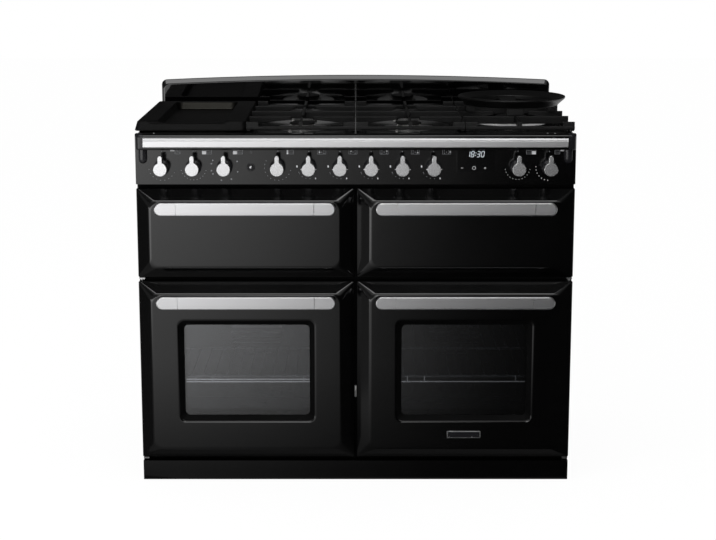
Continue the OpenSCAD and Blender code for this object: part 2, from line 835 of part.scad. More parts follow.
// Pressed upstand with a sloping top edge, which rises in an arc to the middle
module upstand_slab(drop, w, d0, d1) {
  steps = 24;
  corner = 9;
  top = hob_h + upstand_end - drop;
  upright(d0, d1) polygon(concat(
    [[w / 2, tray_z], [w / 2, top - corner], [w / 2 - corner * 0.3, top - corner * 0.3]],
    [for (i = [0 : steps]) let (u = 1 - 2 * i / steps)
      [u * (w / 2 - corner), top + upstand_rise * (1 - u * u)]],
    [[-w / 2 + corner * 0.3, top - corner * 0.3], [-w / 2, top - corner], [-w / 2, tray_z]]));
}

module upstand() color("black") {
  slope = 11;
  difference() {
    hull() {
      upstand_slab(slope, upstand_w, upstand_d, upstand_d + 1);
      upstand_slab(0, upstand_w, upstand_d + 5, body_d);
    }
    translate([0, 0, -1]) hull() {
      upstand_slab(slope + 1, upstand_w - 2 * sheet, upstand_d + sheet, upstand_d + sheet + 1);
      upstand_slab(1, upstand_w - 2 * sheet, upstand_d + sheet + 4, body_d - sheet);
    }
  }
}

// Post of a cast bar, with a bevelled top
module post(x, d, w, h, top) {
  bevel = 2;
  translate([x, fy(d), top - h]) cylinder(d = w, h = h - bevel, $fn = 8);
  translate([x, fy(d), top - bevel]) cylinder(d = w - 2 * bevel, h = bevel, $fn = 8);
}

// Cast bar between two posts, each with its own width and height
module bar(x0, d0, x1, d1, w0, w1, h0, h1, top = rest_z)
  hull() {
    post(x0, d0, w0, h0, top);
    post(x1, d1, w1, h1, top);
  }

// Frame that the castings share: low front and back edges with raised corners, low side rails, feet
bar_h = 20;
tip_h = 9;
edge_h = 9;
corner_w = 22;
corner_d = bar_w + 2;
corner_in = 1.5;
reach_d = (support_d1 - support_d0) / 2;
rail_low = 14;
rail_deep = 9;
rail_w = bar_w - 1;
support_x = support_w / 2;
module support_frame() {
  e = support_x - bar_w / 2;
  for (sy = [-1, 1]) {
    d = wok_d + sy * (reach_d - bar_w / 2);
    bar(-e, d, e, d, bar_w, bar_w, edge_h, edge_h, rest_z - edge_drop);
    for (sx = [-1, 1]) translate([-sx * corner_in, -sy * corner_in, 0])
      bar(sx * e, d, sx * (support_x - corner_w), d, corner_d, corner_d, bar_h, bar_h);
  }
  for (sx = [-1, 1]) {
    translate([sx * e - rail_w / 2, fy(support_d0 + bar_w / 2), rest_z - rail_low - rail_deep])
      cube([rail_w, support_d1 - support_d0 - bar_w, rail_deep]);
    for (d = [support_d0 + bar_w / 2, wok_d, support_d1 - bar_w / 2])
      rod_z(sx * (support_x - corner_w), d, bar_w * 0.4, hob_z + run, rest_z - bar_h + 6, $fn = 16);
  }
}

// Four fingers round a burner, whose tips leave a ring open in the middle
module fingers(d, open, ahead, behind) {
  e = support_x - bar_w / 2;
  tip_w = bar_w * 0.7;
  for (sx = [-1, 1]) bar(sx * e, d, sx * open, d, bar_w, tip_w, bar_h, tip_h);
  bar(0, d - ahead, 0, d - open, bar_w, tip_w, bar_h, tip_h);
  bar(0, d + behind, 0, d + open, bar_w, tip_w, bar_h, tip_h);
}

module pan_support(x) color("#222222") translate([x, 0, 0]) {
  e = support_x - bar_w / 2;
  open = 26;
  support_frame();
  bar(-e, wok_d, e, wok_d, bar_w, bar_w, bar_h, bar_h);
  fingers(front_burner_d, open, front_burner_d - support_d0 - bar_w / 2, wok_d - front_burner_d);
  fingers(back_burner_d, open, back_burner_d - wok_d, support_d1 - bar_w / 2 - back_burner_d);
}

// Support over the wok burner: two cross bars and fingers between them
module wok_support(x) color("#222222") translate([x, 0, 0]) {
  e = support_x - bar_w / 2;
  cross = 120;
  support_frame();
  for (sy = [-1, 1]) bar(-e, wok_d + sy * cross, e, wok_d + sy * cross, bar_w, bar_w, bar_h, bar_h);
  fingers(wok_d, 44, reach_d - bar_w / 2, reach_d - bar_w / 2);
}

module pan_support_left() pan_support(-burner_x);
module pan_support_centre() pan_support(burner_x);
module pan_support_right() wok_support(wok_x);

// Wok ring: conical ring on four lugs, which stand on the support's bars
module wok_ring() color("#222222") {
  r = wok_rim_r;
  h = wok_ring_h;
  lug_w = 44;
  foot_h = 18;
  foot_r = r - 19;
  wall_r = r - 27;
  translate([wok_x, fy(wok_d), rest_z + run]) {
    rotate_extrude() polygon([[r, h - 5], [r - 2, h - 1], [r - 6, h], [wall_r + 1, h - 12],
      [wall_r, foot_h], [foot_r, foot_h], [foot_r + 1, foot_h + 4]]);
    for (a = [0 : 90 : 270]) rotate([0, 0, a])
      translate([0, lug_w / 2, 0]) rotate([90, 0, 0]) linear_extrude(lug_w)
        polygon([[wall_r - 19, 0], [foot_r - 3, 0], [foot_r - 3, foot_h + 4],
          [wall_r + 3, h - 14.5], [wall_r - 5, h - 15], [wall_r - 21, 7]]);
  }
}

// Griddle tray: rim over the hob's edge, a well that stands on the hob, a lowered front lip
griddle_top = rest_z;
griddle_flare = 5;
module griddle_plate() color("#1c1c1c") {
  x0 = -half_w;
  x1 = -module_w - 3;
  d0 = support_d0 + 16;
  d1 = support_d1 - 1;
  ledge = 50;
  wall = 17;
  well_z = griddle_top - griddle_deep;
  lip = 6;
  rim_z = hob_h + 1.5;
  difference() {
    union() {
      hull() {
        griddle_layer(x0 - griddle_flare, x1 + 1, d0 - griddle_flare, d1 + 1, 12, rim_z, 4);
        griddle_layer(x0, x1, d0, d1, 12, griddle_top - 4, 2.5);
        griddle_layer(x0 + 1.5, x1 - 1.5, d0 + 1.5, d1 - 1.5, 12, griddle_top - 1.5, 1.5);
      }
      griddle_layer(x0 + ledge - 10, x1 - ledge + 10, d0 + 10, d1 - 10, 14, hob_z + run, rim_z + 1 - hob_z);
    }
    hull() {
      griddle_layer(x0 + ledge + 4, x1 - ledge - 4, d0 + wall + 4, d1 - wall - 3, 14, well_z, 1);
      griddle_layer(x0 + ledge, x1 - ledge, d0 + wall, d1 - wall, 18, griddle_top, 1);
    }
    translate([0, fy(d0 + wall + 1), 0]) rotate([90, 0, 0]) linear_extrude(wall + 12)
      polygon([[x0 + ledge - 14, griddle_top - lip], [x1 - ledge - 4, griddle_top - lip],
        [x1 - ledge + 8, griddle_top + 1], [x0 + ledge - 24, griddle_top + 1]]);
  }
}

// Level layer of the griddle between two X and two depth edges
module griddle_layer(x0, x1, d0, d1, r, z, h)
  translate([(x0 + x1) / 2, fy((d0 + d1) / 2), z]) linear_extrude(h)
    round_rect(x1 - x0, d1 - d0, r, $fn = 24);

// Doors and drawer fronts, drawn on the left and mirrored to the right

// Solid outline of a front: straight edge, mitred slope and raised field
module front_form(z0, z1, inset, rise) {
  w = front_w - 2 * inset;
  h = z1 - z0 - 2 * inset;
  z = (z0 + z1) / 2;
  ease = 2.5;
  field_w = front_w - 2 * slope_w;
  field_h = z1 - z0 - 2 * slope_h;
  hull() {
    slab(-front_x, z, w, h, 4, 0, front_t - skin);
    slab(-front_x, z, field_w + 2 * ease - inset, field_h + 2 * ease - inset, face_r, ease - rise,
      1 + ease - rise, $fn = 32);
    slab(-front_x, z, field_w - inset, field_h - inset, face_r, -rise, 1 - rise, $fn = 32);
  }
}

// Pressed skin: the outline hollowed from behind
module front_skin(z0, z1) difference() {
  front_form(z0, z1, 0, face_rise);
  front_form(z0, z1, skin, face_rise - skin);
  block(-half_w + skin, -half_w - skin + front_w, front_t - skin - 1, front_t + 1, z0 + skin, z1 - skin);
}

glass_z = door_bottom + glass_up + glass_h / 2;
pane_d = -face_rise + surround_d + skin;
pane_lap = 14;
module door_panel() color("black") {
  difference() {
    union() {
      front_skin(door_bottom, door_top);
      hull() {
        slab(-front_x, glass_z, glass_w + 2 * surround + 2 * skin, glass_h + 2 * surround + 2 * skin, 17,
          -face_rise + 1, -face_rise + skin, $fn = 24);
        slab(-front_x, glass_z, glass_w + 2 * pane_lap, glass_h + 2 * pane_lap, 17, pane_d - skin,
          pane_d, $fn = 24);
      }
    }
    hull() {
      slab(-front_x, glass_z, glass_w + 2 * surround, glass_h + 2 * surround, 17,
        -face_rise - 0.5, -face_rise, $fn = 24);
      slab(-front_x, glass_z, glass_w, glass_h, 12, pane_d - skin - 0.5, pane_d - skin, $fn = 24);
    }
    slab(-front_x, glass_z, glass_w, glass_h, 12, pane_d - skin - 1, pane_d + 1);
    for (z = [door_bottom, door_top - skin]) rod_z(-pin_x, pin_d, pin_r + 1.5, z - 1, z + skin + 1);
  }
}

// Inner door panel, with the bored blocks that turn on the hinge pins
module door_liner() color("dimgray") {
  block_w = 11;
  block_l = 24;
  block_up = 4.4;
  difference() {
    union() {
      slab(-front_x, (door_bottom + door_top) / 2, front_w - 2, door_top - door_bottom - 2, 4,
        front_t - skin, front_t);
      for (z = [door_bottom + block_up, door_top - block_up - block_l])
        block(-pin_x - block_w / 2, -pin_x + block_w / 2, pin_d - block_w / 2, front_t - skin + 0.5,
          z, z + block_l);
    }
    slab(-front_x, glass_z, glass_w, glass_h, 12, front_t - skin - 1, front_t + 1);
    rod_z(-pin_x, pin_d, pin_r + bearing, door_bottom + skin, door_bottom + block_up + block_l + 1);
    rod_z(-pin_x, pin_d, pin_r + bearing, door_top - block_up - block_l - 1, door_top - skin);
  }
}

module door_glass() color([0.6, 0.7, 0.75, 0.35]) {
  slab(-front_x, glass_z, glass_w + 2 * pane_lap - 2, glass_h + 2 * pane_lap - 2, 10, pane_d, pane_d + pane_t);
  slab(-front_x, glass_z, glass_w + 2 * pane_lap, glass_h + 2 * pane_lap, 10, front_t - skin - pane_t,
    front_t - skin);
}

// Flat bar between two cast ends, each on its own post
module handle(top_z) color("silver") {
  z = top_z - handle_drop;
  x0 = -half_w + handle_inset;
  x1 = -centre_gap / 2 - handle_inset + 4;
  r = handle_h / 2;
  d0 = -reach;
  d1 = d0 + handle_t;
  block(x0 + bracket_l + nip, x1 - bracket_l - nip, d0, d1, z - r, z + r);
  for (end = [[x0 + r, 1], [x1 - r, -1]]) {
    x_mid = end[0] + end[1] * (bracket_l - r) / 2;
    upright(d0, d1) {
      translate([end[0], z]) circle(r = r);
      translate([x_mid, z]) square([bracket_l - r, handle_h], center = true);
    }
    rod_y(end[0] + end[1] * 8, z, 9, d1 - 1, -face_rise);
  }
}

module door_left_panel() door_panel();
module door_left_liner() door_liner();
module door_left_glass() door_glass();
module door_left_handle() handle(door_top);
module door_right_panel() mirror([1, 0, 0]) door_panel();
module door_right_liner() mirror([1, 0, 0]) door_liner();
module door_right_glass() mirror([1, 0, 0]) door_glass();
module door_right_handle() mirror([1, 0, 0]) handle(door_top);

// Upper fronts: skin and closing plate
module upper_front() color("black") {
  front_skin(upper_bottom, upper_top);
  slab(-front_x, (upper_bottom + upper_top) / 2, front_w - 2, upper_h - 2, 4, front_t - skin + nip,
    front_t);
}

module grill_front() upper_front();
module grill_handle() handle(upper_top);
module proving_front() mirror([1, 0, 0]) upper_front();
module proving_handle() mirror([1, 0, 0]) handle(upper_top);

// Grill carriage: slide bars and cross members, and the pan that hangs in it with its trivet
pan_wall = 1.5;
pan_deep = 34;
module grill_carriage() color("gray") translate([-front_x, 0, 0]) {
  pan_x = slide_x - slide_w - 4;
  pan_d0 = liner_d + 12;
  pan_d1 = rear_d - 60;
  pan_z = grill_runner_z - pan_deep;
  member = 8;
  both_sides() slide_bar(grill_runner_z);
  for (d = [pan_d0 - member, pan_d1])
    block(-slide_x + slide_w, slide_x - slide_w, d, d + member, grill_runner_z - member, grill_runner_z);
  difference() {
    union() {
      block(-pan_x, pan_x, pan_d0 + run, pan_d1 - run, pan_z, grill_runner_z + pan_wall);
      block(-pan_x, pan_x, pan_d0 - member + 1, pan_d1 + member - 1, grill_runner_z + nip,
        grill_runner_z + nip + pan_wall);
    }
    block(-pan_x + pan_wall, pan_x - pan_wall, pan_d0 + run + pan_wall, pan_d1 - run - pan_wall,
      pan_z + pan_wall, grill_runner_z + member);
  }
  trivet(pan_x - 4, pan_d0 + 6, pan_d1 - 6, pan_z + pan_wall);
}

// Wire trivet that stands in the grill pan
module trivet(half, d0, d1, z) {
  wires = 15;
  top = z + 24;
  for (d = [d0, d1]) rod_x(-half, half, d, top, 3);
  for (i = [0 : wires]) rod_y(-half + 3 + i * (2 * half - 6) / wires, top + 1.5, 1.8, d0, d1);
  for (sx = [-1, 1], d = [d0 + 30, d1 - 30]) {
    rod_z(sx * (half - 3), d, 3, z + nip, top + 1);
  }
}

// Proving drawer: open box between its slide bars
box_wall = 1.5;
box_h = 120;
module proving_box() color("gray") translate([front_x, 0, 0]) {
  box_x = slide_x - slide_w;
  box_z = chamber_z0 + 8;
  both_sides() slide_bar(proving_runner_z);
  difference() {
    block(-box_x, box_x, front_t, rear_d - 12, box_z, box_z + box_h);
    block(-box_x + box_wall, box_x - box_wall, front_t + box_wall, rear_d - 12 - box_wall,
      box_z + box_wall, box_z + box_h + 1);
  }
}

chassis_base();
levelling_feet();
plinth();
side_panels();
back_panel();
front_frame();
oven_liners();
upper_liners();
shelf_supports();
oven_shelves();
fan_covers();
fan_motors();
heating_elements();
door_seals();
door_hinges();
drawer_runners();
hob_tray();
upstand();
control_panel();
front_rail();
rail_strip();
clock_display();
gas_taps();
oven_controls();
gas_rail();
burner_bases();
burner_caps();
light_button();
knob_1();
knob_2();
knob_3();
knob_4();
knob_5();
knob_6();
knob_7();
knob_8();
knob_9();
knob_10();
knob_11();
fan_left();
fan_right();
griddle_plate();
pan_support_left();
pan_support_centre();
pan_support_right();
wok_ring();
door_left_panel();
door_left_liner();
door_left_glass();
door_left_handle();
door_right_panel();
door_right_liner();
door_right_glass();
door_right_handle();
grill_front();
grill_handle();
grill_carriage();
proving_front();
proving_handle();
proving_box();
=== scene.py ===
"""Dual fuel range cooker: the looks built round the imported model.

Lengths are written in millimetres and become metres when a mesh is made. Depths called d are counted
from the control panel's front plane towards the back, as in the part's source.
"""

import json
import math

import bmesh
import bpy
import numpy as np
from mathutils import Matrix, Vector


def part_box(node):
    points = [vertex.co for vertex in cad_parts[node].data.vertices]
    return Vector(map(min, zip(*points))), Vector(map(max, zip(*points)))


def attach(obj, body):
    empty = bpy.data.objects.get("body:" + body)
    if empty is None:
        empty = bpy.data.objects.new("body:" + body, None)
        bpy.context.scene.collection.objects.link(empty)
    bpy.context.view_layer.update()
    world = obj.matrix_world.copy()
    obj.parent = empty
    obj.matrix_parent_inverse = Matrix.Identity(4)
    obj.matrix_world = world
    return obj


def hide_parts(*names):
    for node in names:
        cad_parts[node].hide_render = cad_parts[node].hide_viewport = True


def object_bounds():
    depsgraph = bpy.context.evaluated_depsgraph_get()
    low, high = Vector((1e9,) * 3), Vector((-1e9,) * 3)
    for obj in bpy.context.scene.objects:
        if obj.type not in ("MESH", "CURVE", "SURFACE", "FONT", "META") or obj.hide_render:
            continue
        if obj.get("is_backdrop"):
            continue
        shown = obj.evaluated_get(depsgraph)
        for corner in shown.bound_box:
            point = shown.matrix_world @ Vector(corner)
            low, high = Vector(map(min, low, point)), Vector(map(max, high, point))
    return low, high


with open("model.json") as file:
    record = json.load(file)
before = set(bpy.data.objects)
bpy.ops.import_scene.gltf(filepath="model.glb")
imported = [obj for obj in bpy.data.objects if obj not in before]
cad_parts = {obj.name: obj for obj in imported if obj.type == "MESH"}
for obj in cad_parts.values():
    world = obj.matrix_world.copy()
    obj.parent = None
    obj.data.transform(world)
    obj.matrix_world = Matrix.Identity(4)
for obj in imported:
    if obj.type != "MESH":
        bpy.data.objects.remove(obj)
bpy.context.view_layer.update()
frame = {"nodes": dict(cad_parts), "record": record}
nodes = frame["nodes"]

MM = 0.001
PANEL_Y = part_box("control_panel")[0].y / MM
HALF_W = 546.0
FRONT_X = 274.25
FRONT_W = 543.5
DOOR_Z0, DOOR_Z1 = 63.0, 524.0
DRAWER_Z0, DRAWER_Z1 = 534.0, 760.0
OVEN_Z = (DOOR_Z0 + DOOR_Z1) / 2
REST_Z = 922.0
HOB_Z = 892.0
KNOB_Z = 813.0
KNOB_PITCH = 77.3
KNOB_X = [KNOB_PITCH * s for s in (-6.21, -5.2, -4.2, -2.5, -1.5, -0.5, 0.5, 1.5, 2.5, 5.2, 6.21)]
GAS_KNOBS = (4, 5, 6, 7, 8)
PAIR_X, WOK_X = 136.5, 409.5
NEAR_D, MID_D, FAR_D = 160.0, 286.0, 412.0
SMALL_BURNER = (38, 31, 8, 73)
WOK_BURNER = (60, 42, 12, 94)

# ---------------------------------------------------------------- camera

CAMERA_BACK = 4150.0
CAMERA_UP = 1397.0
CAMERA_TILT = 11.5
LENS_MM = 84.8
FRAME_SHIFT = 2.4 / 716

camera = bpy.data.objects.new("camera", bpy.data.cameras.new("camera"))
bpy.context.scene.collection.objects.link(camera)
camera.location = (0, (PANEL_Y - CAMERA_BACK) * MM, CAMERA_UP * MM)
camera.rotation_euler = (math.radians(90 - CAMERA_TILT), 0, 0)
camera.data.lens = LENS_MM
camera.data.sensor_width = 36
camera.data.shift_x = FRAME_SHIFT
camera.data.clip_end = 100
bpy.context.scene.camera = camera
bpy.context.scene.view_settings.view_transform = "Standard"

# ---------------------------------------------------------------- shader nodes


def add(tree, kind, inputs=None, **settings):
    """A node of that kind, with its settings and with its inputs set or linked."""
    node = tree.nodes.new(kind)
    for key, value in settings.items():
        setattr(node, key, value)
    for key, value in (inputs or {}).items():
        if isinstance(value, bpy.types.NodeSocket):
            tree.links.new(value, node.inputs[key])
        else:
            node.inputs[key].default_value = value
    return node


def maths(tree, operation, a, b=0.0):
    """The result of a Math node."""
    return add(tree, "ShaderNodeMath", {0: a, 1: b}, operation=operation).outputs[0]


def times(tree, a, b):
    return maths(tree, "MULTIPLY", a, b)


def remap(tree, value, low, high, to_low=0.0, to_high=1.0, smooth=False):
    """value taken from the range low..high to to_low..to_high, and held at its ends."""
    return add(tree, "ShaderNodeMapRange",
               {"Value": value, "From Min": low, "From Max": high, "To Min": to_low, "To Max": to_high},
               interpolation_type="SMOOTHSTEP" if smooth else "LINEAR").outputs[0]


def mix_colours(tree, share, a, b):
    """Colour a where share is 0 and colour b where it is 1."""
    return add(tree, "ShaderNodeMix", {0: share, 6: a, 7: b}, data_type="RGBA").outputs[2]


def grey(level):
    return (level, level, level, 1.0)


EFFECTS = {}


def effect(key, outputs, **inputs):
    """Makes the function under it a node group with value inputs and outputs: it gets the group's tree and
    its input sockets, and returns what the outputs carry."""
    def make(build):
        tree = bpy.data.node_groups.new(build.__name__, "ShaderNodeTree")
        names = [name.replace("_", " ") for name in inputs]
        for name, way in [(n, "INPUT") for n in names] + [(n, "OUTPUT") for n in outputs]:
            tree.interface.new_socket(name=name, in_out=way, socket_type="NodeSocketFloat")
        for name, default in zip(names, inputs.values()):
            tree.interface.items_tree[name].default_value = default
        start, end = tree.nodes.new("NodeGroupInput"), tree.nodes.new("NodeGroupOutput")
        for name, value in zip(outputs, build(tree, start.outputs)):
            tree.links.new(value, end.inputs[name])
        EFFECTS[key] = tree
        return build
    return make


def object_points(tree, scale=(1, 1, 1)):
    """Object coordinates, stretched by scale."""
    place = add(tree, "ShaderNodeTexCoord").outputs["Object"]
    return add(tree, "ShaderNodeMapping", {"Vector": place, "Scale": scale}).outputs[0]


def noise(tree, vector, scale, detail=2.0, roughness=0.5):
    return add(tree, "ShaderNodeTexNoise",
               {"Vector": vector, "Scale": scale, "Detail": detail, "Roughness": roughness}).outputs["Fac"]


@effect("film", ["Height", "Patches"], Peel_Scale=260.0, Patch_Scale=5.0)
def enamel_film(tree, given):
    """Fired enamel: an orange-peel height and broad patches where the gloss differs a little."""
    points = object_points(tree)
    peel = noise(tree, points, given["Peel Scale"], 1.0)
    patches = noise(tree, points, given["Patch Scale"], 4.0, 0.6)
    return [peel, remap(tree, patches, 0.35, 0.7)]


@effect("specks", ["Mask"], Scale=420.0, Size=0.35)
def fired_specks(tree, given):
    """Small pale specks scattered over dark enamel, from the cell centres of a Voronoi pattern."""
    cells = add(tree, "ShaderNodeTexVoronoi", {"Vector": object_points(tree), "Scale": given["Scale"]})
    chance = add(tree, "ShaderNodeSeparateColor", {0: cells.outputs["Color"]}).outputs[0]
    edge = times(tree, remap(tree, chance, 0.55, 1.0), given["Size"])
    return [remap(tree, maths(tree, "SUBTRACT", edge, cells.outputs["Distance"]), 0.0, 0.06)]


@effect("drawn", ["Lines", "Broad"], Scale=1.0)
def drawn_grain(tree, given):
    """Fine lines drawn along X, which change quickly in the other two directions."""
    fine = noise(tree, object_points(tree, (3, 600, 600)), given["Scale"], 3.0, 0.7)
    broad = noise(tree, object_points(tree), 9.0, 2.0)
    return [remap(tree, fine, 0.3, 0.7), broad]


@effect("cast", ["Height", "Pits"], Grain_Scale=900.0, Lump_Scale=160.0)
def sand_cast(tree, given):
    """Sand-cast iron under thin enamel: grains over softer lumps, and small pits."""
    points = object_points(tree)
    grains = noise(tree, points, given["Grain Scale"], 3.0, 0.65)
    lumps = noise(tree, points, given["Lump Scale"], 2.0)
    height = maths(tree, "ADD", times(tree, grains, 0.6), times(tree, lumps, 0.6))
    return [height, remap(tree, grains, 0.32, 0.5, 1.0, 0.0)]


@effect("zinc", ["Tone"], Scale=130.0)
def zinc_spangle(tree, given):
    """Zinc crystals: a grey value for each Voronoi cell."""
    cells = add(tree, "ShaderNodeTexVoronoi", {"Vector": object_points(tree), "Scale": given["Scale"]})
    return [add(tree, "ShaderNodeSeparateColor", {0: cells.outputs["Color"]}).outputs[1]]


@effect("dust", ["Mask"], Scale=7.0, Start=0.5)
def kitchen_dust(tree, given):
    """Thin dust and wiping marks, in streaks that run across the surface."""
    streaks = noise(tree, object_points(tree, (1, 1, 3)), given["Scale"], 5.0, 0.7)
    return [remap(tree, streaks, given["Start"], 0.85)]


@effect("woven", ["Height"], Scale=180.0)
def woven_braid(tree, given):
    """Crossed strands of a woven seal, from two waves at right angles."""
    points = object_points(tree)
    one = add(tree, "ShaderNodeTexWave", {"Vector": points, "Scale": given["Scale"]}, bands_direction="X")
    two = add(tree, "ShaderNodeTexWave", {"Vector": points, "Scale": given["Scale"]}, bands_direction="Z")
    return [times(tree, one.outputs["Fac"], two.outputs["Fac"])]


@effect("lamps", ["Share"])
def painted_glow_fade(tree, given):
    """How far the painted glow on the shelf rods has faded, from the left (0) to the right (1)."""
    place = add(tree, "ShaderNodeSeparateXYZ", {0: object_points(tree)}).outputs
    return [remap(tree, place[0], -0.45, 0.45)]


def finish(name, colour=None, rough=None, bump=None, glow=None, inputs=None, **constants):
    """A material round one Principled BSDF. colour, rough and glow are (effect, output, end at 0, end at
    1) and bump is (effect, output, strength, distance); inputs holds values for the effects."""
    material = bpy.data.materials.new(name)
    material.use_nodes = True
    tree = material.node_tree
    shader = tree.nodes["Principled BSDF"]
    for key, value in constants.items():
        shader.inputs[key.replace("_", " ")].default_value = value
    groups = {row[0]: None for row in (colour, rough, bump, glow) if row}
    for key in groups:
        groups[key] = add(tree, "ShaderNodeGroup", (inputs or {}).get(key), node_tree=EFFECTS[key])
    for row, socket in ((colour, "Base Color"), (glow, "Emission Color"), (rough, "Roughness"),
                        (bump, "Normal")):
        if not row:
            continue
        key, output, first, second = row
        share = groups[key].outputs[output]
        if row is rough:
            made = remap(tree, share, 0.0, 1.0, first, second)
        elif row is bump:
            settings = {"Height": share, "Strength": first, "Distance": second}
            made = add(tree, "ShaderNodeBump", settings).outputs[0]
        else:
            made = mix_colours(tree, share, first, second)
        tree.links.new(made, shader.inputs[socket])
    return material


def darker(tone, share):
    """A colour with its three values times share."""
    return (*[value * share for value in tone], 1)


def enamel(name, level, rough_low, rough_high, ior=1.62):
    """Gloss enamel on sheet steel."""
    return finish(name, ("dust", "Mask", (level, level, level * 1.08, 1), grey(level * 2.5)),
                  ("film", "Patches", rough_low, rough_high), ("film", "Height", 0.04, 0.0004), IOR=ior)


def bright_metal(name, tone, rough_low, rough_high, scale=1.0, metallic=1.0):
    """Chrome or steel with a drawn grain."""
    return finish(name, ("drawn", "Broad", darker(tone, 0.97), (*tone, 1)),
                  ("drawn", "Lines", rough_low, rough_high), inputs={"drawn": {"Scale": scale}},
                  Metallic=metallic)


def cast_iron(name, level, rough_low, rough_high, depth=0.0006, shine=0.4):
    """Matt enamel over sand-cast iron."""
    return finish(name, ("cast", "Pits", grey(level), grey(level * 0.4)),
                  ("cast", "Pits", rough_low, rough_high), ("cast", "Height", 0.35, depth),
                  IOR=1.5, Specular_IOR_Level=shine)


def moulded(name, tone, rough_low, rough_high, peel=500.0):
    """Moulded plastic, rubber or ceramic with a fine texture."""
    return finish(name, ("film", "Patches", darker(tone, 0.88), (*tone, 1)),
                  ("film", "Patches", rough_low, rough_high), ("film", "Height", 0.15, 0.0003),
                  inputs={"film": {"Peel Scale": peel, "Patch Scale": 30.0}}, IOR=1.46)


def machined(name, tone, rough_low, rough_high):
    """Die-cast alloy or brass with machining marks and heat stains."""
    return finish(name, ("dust", "Mask", (*tone, 1), darker(tone, 0.72)),
                  ("cast", "Pits", rough_low, rough_high), ("cast", "Height", 0.12, 0.0003),
                  inputs={"cast": {"Grain Scale": 700.0}, "dust": {"Scale": 25.0}}, Metallic=1.0)


BLACK = enamel("gloss_black_enamel", 0.0008, 0.09, 0.13)
PANEL_BLACK = enamel("panel_black_enamel", 0.0008, 0.1, 0.14)
UPSTAND_BLACK = enamel("upstand_enamel", 0.0008, 0.04, 0.06)
FRAME_BLACK = enamel("matt_frame_enamel", 0.0008, 0.6, 0.75, 1.25)
WINDOW_BLACK = enamel("clock_window_glass", 0.0015, 0.03, 0.06)
CHROME = bright_metal("bright_chrome", (0.8, 0.8, 0.81), 0.275, 0.3)
SATIN = bright_metal("satin_chrome", (0.78, 0.78, 0.79), 0.235, 0.26, 2.0)
DISH = bright_metal("burner_dish_steel", (0.55, 0.55, 0.55), 0.35, 0.45, 3.0)
WOK_DISH = bright_metal("wok_dish_steel", (0.85, 0.85, 0.85), 0.42, 0.5, 3.0, 0.25)
STEEL = bright_metal("drawn_steel", (0.6, 0.6, 0.6), 0.2, 0.36)
IRON = cast_iron("matt_cast_iron", 0.0035, 0.42, 0.6)
GRIDDLE = cast_iron("griddle_coating", 0.003, 0.6, 0.75, 0.0002, 0.25)
CAP_IRON = cast_iron("burner_cap_enamel", 0.004, 0.5, 0.65, 0.0002)
# Paler metal for the griddle well's rear wall: painted highlight for the light that falls on it.
PAINTED_LIT_GRIDDLE = machined("painted_lit_griddle_wall", (0.034, 0.033, 0.029), 0.3, 0.4)
SHEATH = machined("oxidised_sheath", (0.16, 0.155, 0.15), 0.4, 0.6)
ALLOY = machined("burner_alloy", (0.66, 0.655, 0.64), 0.28, 0.42)
BRASS = machined("machined_brass", (0.72, 0.52, 0.22), 0.25, 0.4)
WHITE_PRINT = moulded("pale_print", (0.92, 0.93, 0.95), 0.4, 0.5)
FAINT_PRINT = moulded("faint_print", (0.34, 0.35, 0.37), 0.4, 0.5)
IVORY = moulded("switch_plastic", (0.7, 0.66, 0.56), 0.4, 0.5)
GLOSS_PLASTIC = moulded("gloss_black_plastic", (0.012, 0.012, 0.014), 0.14, 0.2, 300.0)
FOOT_PLASTIC = moulded("foot_plastic", (0.03, 0.03, 0.03), 0.5, 0.65)
CERAMIC = moulded("igniter_ceramic", (0.8, 0.78, 0.74), 0.3, 0.45)
LINER = finish("speckled_liner_enamel", ("specks", "Mask", (0.022, 0.022, 0.025, 1), grey(0.35)),
               ("film", "Patches", 0.22, 0.34), ("film", "Height", 0.08, 0.0005),
               inputs={"film": {"Peel Scale": 180.0}}, IOR=1.5)
ZINC = finish("galvanised_sheet", ("zinc", "Tone", grey(0.42), grey(0.56)), ("dust", "Mask", 0.36, 0.55),
              inputs={"dust": {"Scale": 4.0}}, Metallic=1.0)
GLASS = finish("tinted_oven_glass", rough=("dust", "Mask", 0.01, 0.06),
               inputs={"dust": {"Scale": 5.0, "Start": 0.55}}, Base_Color=(0.55, 0.56, 0.58, 1), IOR=1.9,
               Transmission_Weight=1.0)
SEAL = finish("woven_glass_fibre", ("woven", "Height", grey(0.06), grey(0.2)), ("woven", "Height", 0.95, 0.7),
              ("woven", "Height", 0.6, 0.0008))
LIT = finish("clock_segments", glow=("dust", "Mask", (0.86, 0.93, 1, 1), (0.7, 0.8, 0.95, 1)),
             inputs={"dust": {"Scale": 60.0}}, Base_Color=(0.6, 0.65, 0.7, 1), Emission_Strength=0.8)
# The shelf rods glow: painted highlight in place of lamp light, bright on the left and dim on the right.
WIRE = finish("painted_glow_wire", ("drawn", "Broad", grey(0.6), grey(0.7)),
              glow=("lamps", "Share", grey(1.0), grey(0.2)), Metallic=1.0, Roughness=0.25,
              Emission_Strength=0.7)

SLOT_FINISH = {
    "black_enamel": BLACK, "dark_liner": LINER, "galvanised": ZINC, "chrome": CHROME, "satin_chrome": SATIN,
    "steel": STEEL, "cast_iron": IRON, "griddle_coat": GRIDDLE, "burner_alloy": ALLOY,
    "cap_enamel": CAP_IRON, "brass": BRASS, "switch_plastic": IVORY, "black_plastic": GLOSS_PLASTIC,
    "foot_plastic": FOOT_PLASTIC, "door_glass": GLASS, "seal_fibre": SEAL, "element_sheath": SHEATH,
    "display_glass": WINDOW_BLACK,
}
SLOT_OF = {part["node"]: part["material_slot"] for part in frame["record"]["subparts"]}
BODY_OF = {node: body for body, held in frame["record"]["behaviour"]["bodies"].items() for node in held}
for name, slot in SLOT_OF.items():
    nodes[name].data.materials.clear()
    nodes[name].data.materials.append(SLOT_FINISH[slot])
nodes["control_panel"].data.materials[0] = PANEL_BLACK
nodes["front_frame"].data.materials[0] = FRAME_BLACK

